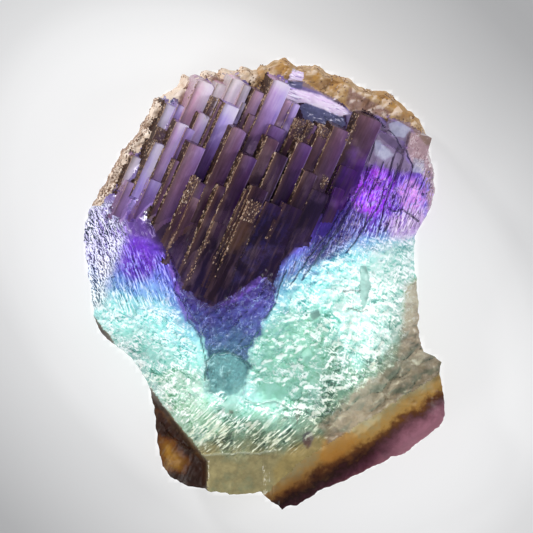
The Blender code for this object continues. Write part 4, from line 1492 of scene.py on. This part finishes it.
def zoned_fluorite(name="zoned_fluorite", transmission=0.38):
    """The clear slab: purple over violet, blue and aqua to mint and olive, with its relief painted in
    highlight and shade, and a painted glow.
    """
    make = Finish(name, 0.12, transmission)
    zone = make.cloudy(make.attribute("zone"), 3.0, 0.14)
    body = make.ramp(
        zone,
        (0.00, "7c6c9c"), (0.14, "8a76b8"), (0.26, "7440d4"), (0.38, "6c68dc"), (0.47, "7ca4ec"),
        (0.56, "90d2ea"), (0.66, "a4e6e4"), (0.76, "b6eee6"), (0.83, "b0e2d0"), (0.89, "7ca68c"),
        (0.95, "808c6c"), (1.00, "a4986a"),
    )
    body = make.coats(
        body,
        ("ash", "8c7c94", 0.9, 2.6, 0.9),
        ("shaded", "5c4a70", 0.75, 0.8, 0.4),
        ("rose", "b89a9c", 0.95),
        ("umber", "947a6c", 0.9),
        # pale bluish facets, one of them a painted highlight
        ("ice", "c0c4dc", 0.75, 0.8, 0.4),
        ("violet", "7430d0", 0.85),
        ("dusk", "2c1474", 0.9),
        ("orchid", "b43cff", 1.0, 1.6, 0.9),
        ("magenta", "ffb4fc", 1.0, 1.6, 0.8),
        ("lilac", "f0ccff", 0.85),
        ("plum", "5c3c88", 0.85),
        ("silver", "e4ecf8", 0.9),
        ("aqua", "b8f8f0", 0.55),
        # painted glow, near white
        ("milky", "dcf4ec", 0.65),
        ("sage", "90d0b8", 0.8),
        ("cream", "bcdcc4", 0.8),
    )
    inner = make.ramp(
        make.cloudy(make.attribute("inner"), 2.6, 0.5),
        (0.05, "241850"), (0.22, "402f88"), (0.40, "444290"), (0.55, "36487c"), (0.70, "305268"),
        (0.85, "3a666c"), (1.00, "98ccc0"),
    )
    edge = make.veil("veiled", 0.8, 0.6, (0.3, 0.0), (0.75, 1.0))
    body = make.mix(edge, body, inner)
    body = make.coats(
        body,
        ("purple", "7448c4", 0.8),
        ("frost", "d4c0a4", 0.8),
        ("gold", "a08a50", 0.7),
        ("honey", "d09038", 0.6, 0.9, 1.1),
        ("bruise", "54445c", 0.7, 0.6, 0.8),
        ("pane", "7ca49c", 0.85, 0.6, 0.2),
        ("lens", "5c9496", 0.75, 0.8, 0.2),
    )
    gloom = make.veil("gloom", 2.0, 0.5, (0.35, 0.0), (1.0, 0.9))
    body = make.mix(gloom, body, "34204c")
    body = make.coats(
        body,
        ("hammered", "a08c76", 0.85),
        ("slate", "585a80", 0.9, 0.8),
        # lavender with a painted highlight
        ("pale", "f4e0fc", 0.95, 0.8),
        # reddish brown spots, two of them painted glints
        ("tarnish", "5c3a2c", 0.6, 0.6, 0.9),
    )
    mottle = make.cloudy(make.cloudy(0.5, 2.4, 0.9), 0.8, 0.5)
    body = make.mix(1.0, body, make.ramp(mottle, (0.25, 0.36), (0.75, 0.64)), "OVERLAY")
    # Painted shade on the sides of the relief turned from the light
    painted_lee_shade = make.times(make.ramp(make.attribute("painted_lee_shade"), (0.1, 0.0), (0.9, 1.0)), 0.7)
    body = make.mix(painted_lee_shade, body, make.mix(1.0, body, "90c0c8", "MULTIPLY"))
    # Painted highlight on the sides of the relief facing the light, less where hammered or dusky
    painted_highlight = make.veil("painted_highlight", 0.28, 0.6, (0.25, 0.0), (0.85, 0.8))
    dull = make.math("MAXIMUM", make.attribute("hammered"), make.attribute("dusk"))
    dull = make.ramp(dull, (0.2, 1.0), (0.9, 0.35))
    painted_highlight = make.times(painted_highlight, dull)
    # Colour of the painted highlights and glints: after the zone, whitish on the pale and slate faces and the
    # lilac
    tint = make.ramp(
        zone,
        (0.20, "a874ff"), (0.40, "acb8ff"), (0.58, "f4ffff"), (0.85, "ffffff"), (0.93, "e0e4cc"),
    )
    grey = make.math("MAXIMUM", make.attribute("slate"), make.attribute("pale"))
    tint = make.mix(grey, tint, "f0ecff")
    tint = make.mix(make.attribute("lilac"), tint, "f8e8ff")
    body = make.mix(painted_highlight, body, tint)
    calm = make.ramp(make.cloudy(0.5, 4.0, 1.4), (0.30, 0.15), (0.62, 1.0))
    calm = make.times(calm, make.ramp(make.attribute("sage"), (0.2, 1.0), (1.0, 0.35)))
    # Painted light of the fine relief: each skin's relief, as lit from the upper left, is laid over the
    # colour as lighter and darker strokes
    painted_relief_light = 0.5
    for name, size, stretch, turn, curl, gain in (
        ("crumpled", 0.95, 1.4, 60.0, 1.8, 2.0), ("crumpled", 2.6, 1.4, 60.0, 1.4, 2.0),
        ("fibrous", 0.45, 6.0, 21.0, 0.3, 3.0), ("fibrous", 2.2, 2.5, 21.0, 0.6, 1.0),
        ("rippled", 0.75, 1.6, 50.0, 1.5, 2.2), ("rippled", 2.4, 1.5, 50.0, 1.2, 1.8),
        ("shredded", 0.5, 5.0, -20.0, 0.4, 3.0),
        ("striated", 0.5, 9.0, -48.0, 0.3, 2.4), ("striated", 2.4, 1.6, -30.0, 1.2, 1.4),
        ("hammered", 2.2, 1.3, -60.0, 0.8, 1.2),
        ("veiled", 0.9, 1.5, -40.0, 1.8, 0.9), ("veiled", 3.0, 1.4, -40.0, 1.4, 1.0),
        ("pale", 0.5, 5.0, 71.0, 0.6, 2.2), ("slate", 0.9, 3.0, 71.0, 1.4, 1.7),
    ):
        share = make.times(make.times(make.attribute(name), calm), gain)
        painted_relief_light = make.math("MULTIPLY_ADD", make.lit_relief(size, stretch, turn, curl), share, painted_relief_light)
    body = make.mix(1.0, body, make.ramp(painted_relief_light, (0.0, 0.18), (0.5, 0.5), (1.0, 1.0)), "OVERLAY")
    # The brightest of it become painted glints
    glints = make.ramp(painted_relief_light, (0.60, 0.0), (0.78, 0.95))
    glints = make.times(glints, make.ramp(make.attribute("veiled"), (0.2, 1.0), (0.8, 0.15)))
    glints = make.times(glints, dull)
    body = make.mix(glints, body, tint)
    # The darkest of it become painted shade
    painted_relief_shade = make.mix(1.0, body, "88b4b4", "MULTIPLY")
    body = make.mix(make.ramp(painted_relief_light, (0.05, 0.7), (0.36, 0.0)), body, painted_relief_shade)
    broken = make.ramp(make.cloudy(0.5, 2.4, 1.6), (0.42, 0.0), (0.60, 1.0))
    broken = make.times(broken, make.ramp(make.attribute("lens"), (0.2, 1.0), (0.8, 0.1)))
    # Thin crest lines: the pale ones are painted highlights on fold crests, the dark ones painted shade in
    # the folds
    for name, size, width, stretch, turn, light, amount in (
        ("crumpled", 1.5, 0.030, 1.2, 60.0, "fcffff", 0.85),
        ("crumpled", 2.4, 0.014, 1.4, 30.0, "609490", 0.5),
        ("rippled", 1.3, 0.030, 1.4, 50.0, "fcffff", 0.85),
        ("rippled", 2.2, 0.014, 1.4, 50.0, "609490", 0.5),
        ("veiled", 1.5, 0.030, 1.3, -40.0, "98a8dc", 0.7),
        ("veiled", 1.9, 0.022, 1.3, 30.0, "20184c", 0.7),
        ("violet", 1.0, 0.030, 3.5, 15.0, "dcc0ff", 0.6),
        ("plum", 0.8, 0.040, 5.0, 20.0, "b8a0e0", 0.8),
        ("striated", 2.0, 0.016, 3.0, -48.0, "f4fce4", 0.5),
        ("striated", 2.6, 0.014, 1.4, 20.0, "5c7460", 0.6),
        ("shredded", 1.0, 0.040, 4.0, -20.0, "1c0c48", 0.9),
        ("shredded", 0.9, 0.024, 4.0, -20.0, "f8e4ff", 0.8),
        ("rose", 1.1, 0.04, 1.2, 10.0, "fff4f4", 0.7),
        ("rose", 1.3, 0.04, 1.6, -20.0, "6c4454", 0.7),
    ):
        line = make.times(make.crests(size, width, stretch, turn), broken)
        line = make.times(line, make.attribute(name))
        body = make.mix(make.times(line, amount), body, light)
    splits = make.ramp(make.streaks(0.42, 18.0, -20.0), (0.39, 1.0), (0.44, 0.0))
    splits = make.times(splits, make.attribute("shredded"))
    body = make.mix(splits, body, "160a38")
    depth = make.ramp(zone, (0.42, "1c1438"), (0.60, "3c5c7c"), (0.75, "54807c"), (0.92, "5c6458"))
    body = make.mix(make.ramp(make.attribute("crack"), (0.35, 0.0), (0.75, 0.9)), body, depth)
    # Painted shade in the hollows of the relief
    painted_fold = make.veil("painted_fold", 0.35, 0.7, (0.28, 0.0), (0.6, 0.8))
    body = make.mix(painted_fold, body, make.mix(1.0, body, "587480", "MULTIPLY"))
    # The silver zone's speckle: painted glints and painted shade from the fine relief as lit, the painted
    # highlight and the painted lee shade
    strokes = make.math("MULTIPLY_ADD", make.lit_relief(0.40, 2.8, 26.0, 1.0), 7.5, 0.42)
    strokes = make.math("MULTIPLY_ADD", make.attribute("painted_highlight"), 0.5, strokes)
    strokes = make.math("MULTIPLY_ADD", make.attribute("painted_lee_shade"), -0.25, strokes)
    speckle = make.ramp(strokes, (0.18, 0.0), (0.32, 0.35), (0.44, 0.7), (0.54, 1.0))
    dark = make.ramp(zone, (0.16, "1c2c40"), (0.30, "201450"), (0.50, "183c64"), (0.66, "1c5464"))
    middle = make.ramp(zone, (0.16, "a0b0b4"), (0.30, "7c50dc"), (0.45, "5c84dc"), (0.60, "64b8cc"))
    speckle = make.mix(make.ramp(speckle, (0.0, 0.0), (0.4, 1.0)), dark, make.mix(
        make.ramp(speckle, (0.4, 0.0), (0.9, 1.0)), middle, "fafeff"))
    body = make.mix(make.attribute("silver"), body, speckle)
    shine = make.times(make.ramp(strokes, (0.38, 0.0), (0.50, 1.0)), make.attribute("silver"))
    shine = make.math("MAXIMUM", shine, make.math("MAXIMUM", glints, make.times(painted_highlight, 0.5)))
    shine = make.math("MAXIMUM", shine, make.ramp(make.attribute("magenta"), (0.3, 0.0), (1.0, 0.7)))
    # Painted glow: the slab gives off light of its own, most in the violet and aqua zones, less where it is
    # sage, and white in the glints, the silver speckle and the magenta spot
    make.shader.inputs["Emission Strength"].default_value = 0.28
    lamp = make.ramp(zone, (0.20, 0.3), (0.50, 0.1), (0.68, 0.45), (0.84, 0.25), (0.93, 0.0))
    lamp = make.times(lamp, make.ramp(make.attribute("sage"), (0.3, 1.0), (1.0, 0.2)))
    lamp = make.mix(1.0, body, lamp, "MULTIPLY")
    make.link(make.mix(shine, lamp, tint), make.shader.inputs["Emission Color"])
    wrinkles = make.times(make.crackle(0.8, 0.3), make.attribute("rough"))
    return make.finish(body, make.bump(wrinkles, 0.30, make.bump(make.crackle(0.4, 0.3), 0.015)))


def satin_columns():
    """Smooth faces of the columns, pale pink and lavender at the tips, dark below, with a painted highlight
    along each face's far edge and a painted glow at the palest parts.
    """
    make = Finish("satin_columns", 0.22, 0.22, 0.2)
    shade = make.cloudy(make.attribute("shade"), 1.8, 0.10)
    blue = make.ramp(
        shade,
        (0.00, "f0e6ff"), (0.12, "cab8fc"), (0.26, "aa90e2"), (0.40, "8664b4"), (0.55, "5e3c8c"),
        (0.70, "3e2458"), (0.85, "2c1842"), (1.00, "22143a"),
    )
    pink = make.ramp(
        shade,
        (0.00, "fff0f4"), (0.12, "ecbcd4"), (0.26, "cca0b8"), (0.40, "9e7e90"), (0.55, "765868"),
        (0.70, "4a3440"), (0.85, "382430"), (1.00, "2a1826"),
    )
    body = make.mix(make.attribute("pink"), blue, pink)
    body = make.mix(make.attribute("core"), body, make.mix(1.0, body, "9868a0", "MULTIPLY"))
    wisps = make.times(make.cloudy(make.cloudy(0.5, 2.2, 1.6), 0.7, 0.9), make.attribute("wisps"))
    body = make.mix(make.ramp(wisps, (0.35, 0.0), (0.95, 0.4)), body, "302c74")
    body = make.painted(body, "flare", "541c90", 0.6, 2.4, 0.8)
    dust = make.ramp(make.cells(0.36), (0.05, "d0b8a4"), (0.22, "8c7468"), (0.45, "50403c"))
    body = make.painted(body, "dusting", dust, 0.8, 0.8, 0.9)
    body = make.mix(make.veil("ember", 1.0, 0.8, (0.3, 0.0), (1.0, 0.5)), body, "745840")
    cap = make.veil("tip_gap", 0.6, 0.2, (0.02, 0.55), (0.30, 0.0))
    body = make.mix(cap, body, "2c1c22")
    edge = make.cloudy(make.attribute("edge_gap"), 0.5, 0.3)
    body = make.mix(make.ramp(edge, (0.10, 0.75), (0.42, 0.42), (1.00, 0.0)), body, "5c4238")
    body = make.mix(make.ramp(edge, (0.04, 0.85), (0.16, 0.0)), body, "d4b494")
    film = make.times(make.streaks(1.6, 6.0, -24.0), make.attribute("filmed"))
    film = make.times(film, make.ramp(shade, (0.10, 0.3), (0.45, 1.0)))
    film = make.ramp(film, (0.30, 0.0), (0.58, 0.55))
    body = make.mix(film, body, make.mix(1.0, body, "a89084", "OVERLAY"))
    stains = make.ramp(make.streaks(0.9, 12.0, -24.0), (0.50, 0.0), (0.72, 0.42))
    stains = make.times(stains, make.ramp(shade, (0.45, 0.0), (0.75, 1.0)))
    body = make.mix(stains, body, "5e464a")
    # A painted highlight along the far edge of each face
    far = make.veil("far_gap", 0.4, 0.3, (0.06, 0.30), (0.30, 0.0))
    body = make.mix(far, body, "c0a4d8", "SCREEN")
    lines = make.streaks(0.45, 16.0, -24.0)
    body = make.mix(1.0, body, make.ramp(lines, (0.30, 0.40), (0.70, 0.60)), "OVERLAY")
    relief = make.bump(lines, 0.035)
    # Painted glow: the palest parts of the columns give off light of their own
    make.shader.inputs["Emission Strength"].default_value = 0.10
    lamp = make.mix(1.0, body, make.ramp(shade, (0.02, 1.0), (0.32, 0.0)), "MULTIPLY")
    make.link(lamp, make.shader.inputs["Emission Color"])
    rough = make.ramp(make.attribute("plum"), (0.1, 0.22), (0.6, 0.5))
    return make.finish(body, make.bump(make.crackle(0.35, 0.2), 0.012, relief), rough)


def sugared_sides():
    """Narrow sides covered with a brown film and tiny tan crystals."""
    make = Finish("sugared_sides", 0.5, 0.0, 0.2)
    grains = make.cells(0.34)
    body = make.ramp(grains, (0.0, "a88a68"), (0.15, "6c5038"), (0.40, "422c24"), (0.8, "2c1c1c"))
    shade = make.ramp(make.attribute("shade"), (0.1, "ffffff"), (0.6, "c4b4a8"), (1.0, "7c706c"))
    body = make.mix(1.0, body, shade, "MULTIPLY")
    return make.finish(body, make.bump(grains, -0.22))


def tan_crust():
    """Lumpy dull crust along the upper edge, with amber spots, painted shade and highlights on its lumps, and
    a painted glow along the outer rim.
    """
    make = Finish("tan_crust", 0.5, 0.0)
    body = make.ramp(
        make.cloudy(0.5, 2.2, 1.3),
        (0.20, "94703c"), (0.40, "ac8450"), (0.56, "c0a074"), (0.72, "d8b898"), (0.90, "f0dccc"),
    )
    body = make.painted(body, "mauve", "8c6a68", 0.8)
    body = make.painted(body, "amber", "b4843c", 0.85)
    # Painted glow: the crust painted near white along the outer rim on the left
    body = make.mix(make.veil("painted_rim_glow", 0.9, 0.6, (0.2, 0.0), (1.0, 0.7)), body, "f8e8da")
    # Painted shade on the sides of the lumps turned from the light
    body = make.mix(make.times(make.attribute("painted_lee_shade"), 0.5), body, "a87c54")
    # Painted shade in the hollows of the lumps
    body = make.mix(make.ramp(make.attribute("painted_fold"), (0.2, 0.0), (0.8, 0.5)), body, "6c4c38")
    # Painted highlight on the sides of the lumps facing the light
    body = make.mix(make.ramp(make.attribute("painted_highlight"), (0.1, 0.0), (0.4, 0.4)), body, "fff2e8")
    return make.finish(body, make.bump(make.crackle(0.9, 0.4), 0.25))


def banded_edge():
    """Amber and maroon growth bands along the lower right edge, and the amber lobe."""
    make = Finish("banded_edge", 0.36, 0.4, 0.1)
    band = make.cloudy(make.cloudy(make.cloudy(make.attribute("band"), 6.0, 0.40), 2.2, 0.30), 0.9, 0.22)
    body = make.ramp(
        band,
        (0.20, "a89c74"), (0.42, "bc9048"), (0.52, "6c401c"),
        (0.64, "30120e"), (0.82, "5a2438"), (0.98, "945060"),
    )
    rosy = make.times(make.ramp(band, (0.56, 0.0), (0.86, 1.0)), make.attribute("rosy"))
    body = make.mix(rosy, body, "c08494")
    body = make.painted(body, "honey", "d09038", 0.6, 0.9, 1.1)
    body = make.mix(make.attribute("tipward"), body, make.mix(1.0, body, "b8a498", "MULTIPLY"))
    lobe = make.ramp(
        make.cloudy(make.attribute("glow"), 2.4, 1.3),
        (0.05, "32180c"), (0.22, "50280e"), (0.42, "744414"), (0.70, "84581a"), (1.00, "a87828"),
    )
    body = make.mix(make.attribute("lobe"), body, lobe)
    return make.finish(body, make.bump(make.crackle(0.7, 0.3), 0.05))


def sugar_grains():
    """Tiny clear crystals stained tan, each a little lighter or darker."""
    make = Finish("sugar_grains", 0.18, 0.0)
    body = make.ramp(
        make.attribute("grain_shade"),
        (0.0, "5c443a"), (0.35, "96765f"), (0.6, "c8a88c"), (0.85, "ecd6c2"), (1.0, "fff6ee"),
    )
    stain = make.ramp(make.cloudy(0.5, 0.4, 1.0), (0.3, 0.0), (0.7, 0.4))
    return make.finish(make.mix(stain, body, "7a5c44"))


GRAIN_TURN = (TILT, 0.3, -LEAN)
GRAIN_SPREAD = 0.2  # how far a single grain is turned from that, in radians


def grain_tree(material):
    """Geometry nodes that scatter small square crystals where a face attribute allows."""
    tree = bpy.data.node_groups.new("grown_sugar", "GeometryNodeTree")
    face = tree.interface
    face.new_socket("Geometry", in_out="INPUT", socket_type="NodeSocketGeometry")
    for title, kind, value in (
        ("Where", "NodeSocketString", "sugar"), ("Spacing", "NodeSocketFloat", 0.0003),
        ("Density", "NodeSocketFloat", 1.0e7), ("Smallest", "NodeSocketFloat", 0.00015),
        ("Largest", "NodeSocketFloat", 0.0003), ("Length", "NodeSocketFloat", 1.0),
        ("Darkest", "NodeSocketFloat", 0.0), ("Brightest", "NodeSocketFloat", 1.0),
        ("Seed", "NodeSocketInt", 1),
    ):
        face.new_socket(title, in_out="INPUT", socket_type=kind).default_value = value
    face.new_socket("Geometry", in_out="OUTPUT", socket_type="NodeSocketGeometry")
    nodes, links = tree.nodes, tree.links
    start, end = nodes.new("NodeGroupInput"), nodes.new("NodeGroupOutput")
    where = nodes.new("GeometryNodeInputNamedAttribute")
    where.data_type = "FLOAT"
    scatter = nodes.new("GeometryNodeDistributePointsOnFaces")
    scatter.distribute_method = "POISSON"
    for title, node, socket in (
        ("Where", where, "Name"), ("Geometry", scatter, "Mesh"), ("Spacing", scatter, "Distance Min"),
        ("Density", scatter, "Density Max"), ("Seed", scatter, "Seed"),
    ):
        links.new(start.outputs[title], node.inputs[socket])
    links.new(where.outputs["Attribute"], scatter.inputs["Density Factor"])

    def random(kind, seed, low, high):
        node = nodes.new("FunctionNodeRandomValue")
        node.data_type = kind
        node.inputs["Seed"].default_value = seed
        pair = {"FLOAT": (2, 3), "FLOAT_VECTOR": (0, 1)}[kind]
        for socket, value in zip(pair, (low, high)):
            if isinstance(value, bpy.types.NodeSocket):
                links.new(value, node.inputs[socket])
            else:
                node.inputs[socket].default_value = value
        return node.outputs[1 if kind == "FLOAT" else 0]

    cube = nodes.new("GeometryNodeMeshCube")
    cube.inputs["Size"].default_value = (1.0, 1.0, 1.0)
    size = random("FLOAT", 11, start.outputs["Smallest"], start.outputs["Largest"])
    stretch = nodes.new("ShaderNodeCombineXYZ")
    stretch.inputs[0].default_value = 1.0
    stretch.inputs[2].default_value = 1.0
    links.new(start.outputs["Length"], stretch.inputs[1])
    scale = nodes.new("ShaderNodeVectorMath")
    scale.operation = "SCALE"
    links.new(stretch.outputs[0], scale.inputs[0])
    links.new(size, scale.inputs["Scale"])
    least = [angle - GRAIN_SPREAD for angle in GRAIN_TURN]
    most = [angle + GRAIN_SPREAD for angle in GRAIN_TURN]
    turn = random("FLOAT_VECTOR", 12, least, most)
    grow = nodes.new("GeometryNodeInstanceOnPoints")
    links.new(scatter.outputs["Points"], grow.inputs["Points"])
    links.new(cube.outputs["Mesh"], grow.inputs["Instance"])
    links.new(turn, grow.inputs["Rotation"])
    links.new(scale.outputs[0], grow.inputs["Scale"])
    store = nodes.new("GeometryNodeStoreNamedAttribute")
    store.data_type = "FLOAT"
    store.domain = "INSTANCE"
    store.inputs["Name"].default_value = "grain_shade"
    links.new(grow.outputs["Instances"], store.inputs["Geometry"])
    shade = random("FLOAT", 13, start.outputs["Darkest"], start.outputs["Brightest"])
    links.new(shade, store.inputs["Value"])
    real = nodes.new("GeometryNodeRealizeInstances")
    links.new(store.outputs["Geometry"], real.inputs["Geometry"])
    paint = nodes.new("GeometryNodeSetMaterial")
    paint.inputs["Material"].default_value = material
    links.new(real.outputs["Geometry"], paint.inputs["Geometry"])
    links.new(paint.outputs["Geometry"], end.inputs["Geometry"])
    return tree


def grow_grains(name, host, tree, **amounts):
    """A plain mesh of the grains that the tree grows on the host."""
    bed = bpy.data.objects.new(name + "_bed", host.data.copy())
    bpy.context.scene.collection.objects.link(bed)
    growth = bed.modifiers.new("growth", "NODES")
    growth.node_group = tree
    for item in tree.interface.items_tree:
        if item.in_out == "INPUT" and item.name in amounts:
            growth[item.identifier] = amounts[item.name]
    ready = bed.evaluated_get(bpy.context.evaluated_depsgraph_get())
    mesh = bpy.data.meshes.new_from_object(ready)
    mesh.name = name
    bpy.data.objects.remove(bed, do_unlink=True)
    grains = bpy.data.objects.new(name, mesh)
    bpy.context.scene.collection.objects.link(grains)
    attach(grains, "root")
    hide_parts("fluorite_specimen")
    return grains


specimen = grown_specimen()
specimen.data.materials.clear()
for build in (zoned_fluorite, satin_columns, sugared_sides, tan_crust, banded_edge):
    specimen.data.materials.append(build())
specimen.data.materials.append(zoned_fluorite("clouded_fluorite", 0.12))
paint_masks(specimen.data)
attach(specimen, "root")
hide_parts("fluorite_specimen")

sugar_tree = grain_tree(sugar_grains())
grow_grains("sugar_on_sides", specimen, sugar_tree, Where="sugar", Spacing=0.22 * MM,
            Smallest=0.11 * MM, Largest=0.22 * MM, Length=1.8, Darkest=0.0, Brightest=0.85, Seed=5)
grow_grains("sugar_on_edges", specimen, sugar_tree, Where="ridge", Spacing=0.11 * MM,
            Smallest=0.06 * MM, Largest=0.15 * MM, Length=3.0, Darkest=0.15, Brightest=0.78, Seed=9)


def pale_floor():
    """A pale light table: bright under the specimen, duller towards two of its corners."""
    make = Finish("pale_floor", 0.6, 0.0)
    make.shader.inputs["Emission Strength"].default_value = 1.6
    make.shader.inputs["Specular IOR Level"].default_value = 0.0
    around = make.tree.nodes.new("ShaderNodeVectorMath")
    around.operation = "LENGTH"
    make.link(make.drawn_out(1.5, 45.0), around.inputs[0])
    patch = make.ramp(make.attribute("under"), (0.0, 0.0), (1.0, 0.55))
    wide = make.ramp(
        around.outputs["Value"], (0.0, 0.45), (0.028, 0.43), (0.036, 0.41), (0.042, 0.375), (0.046, 0.30),
        (0.054, 0.235), (0.062, 0.17), (0.072, 0.09),
    )
    make.link(make.mix(1.0, wide, patch, "ADD"), make.shader.inputs["Emission Color"])
    return make.finish(linear("8c8c8c"))


def light_table():
    """The floor, fine enough under the specimen to carry the edge of the bright patch."""
    lines = np.concatenate([[-1000.0, -200.0], np.arange(-52.0, 52.1, 1.3), [200.0, 1000.0]])
    x, y = [axis.ravel() for axis in np.meshgrid(lines, lines, indexing="ij")]
    count = len(lines)
    faces = [
        (i * count + j, (i + 1) * count + j, (i + 1) * count + j + 1, i * count + j + 1)
        for i in range(count - 1)
        for j in range(count - 1)
    ]
    table = mesh_object("floor", np.stack([x, y, 0.0 * x], 1), faces)
    under = np.clip(2.0 * area(x, y, np.array(OUTLINE), 2.6) - 1.0, 0.0, 1.0)
    put_attribute(table.data, "under", under)
    table.data.materials.append(pale_floor())
    return table


floor = light_table()

LIT_PLACE = (0.0, 0.0, 0.01)  # m, the middle of the specimen


def area_light(name, place, size, power):
    """A square lamp aimed at the specimen."""
    data = bpy.data.lights.new(name, "AREA")
    data.size = size
    data.energy = power
    light = bpy.data.objects.new(name, data)
    bpy.context.scene.collection.objects.link(light)
    light.location = place
    light.rotation_euler = (Vector(LIT_PLACE) - Vector(place)).to_track_quat("-Z", "Y").to_euler()


area_light("key_light", (-0.58, 0.62, 0.38), 0.15, 6.0)
area_light("fill_light", (0.75, 0.05, 0.42), 0.3, 3.4)
area_light("bounce_light", (-0.62, -0.50, 0.45), 0.3, 2.4)
world = bpy.data.worlds.new("studio")
world.use_nodes = True
world.node_tree.nodes["Background"].inputs[0].default_value = (0.9, 0.92, 1.0, 1.0)
world.node_tree.nodes["Background"].inputs[1].default_value = 0.42
bpy.context.scene.world = world
bpy.context.scene.view_settings.view_transform = "Standard"

CAMERA_HEIGHT = 1.9
FRAME_WIDTH = 0.1066
camera_data = bpy.data.cameras.new("camera")
camera_data.sensor_width = 36.0
camera_data.lens = camera_data.sensor_width * (CAMERA_HEIGHT - LIT_PLACE[2]) / FRAME_WIDTH
camera = bpy.data.objects.new("camera", camera_data)
camera.location = (0.0005, 0.0033, CAMERA_HEIGHT)
bpy.context.scene.collection.objects.link(camera)
bpy.context.scene.camera = camera
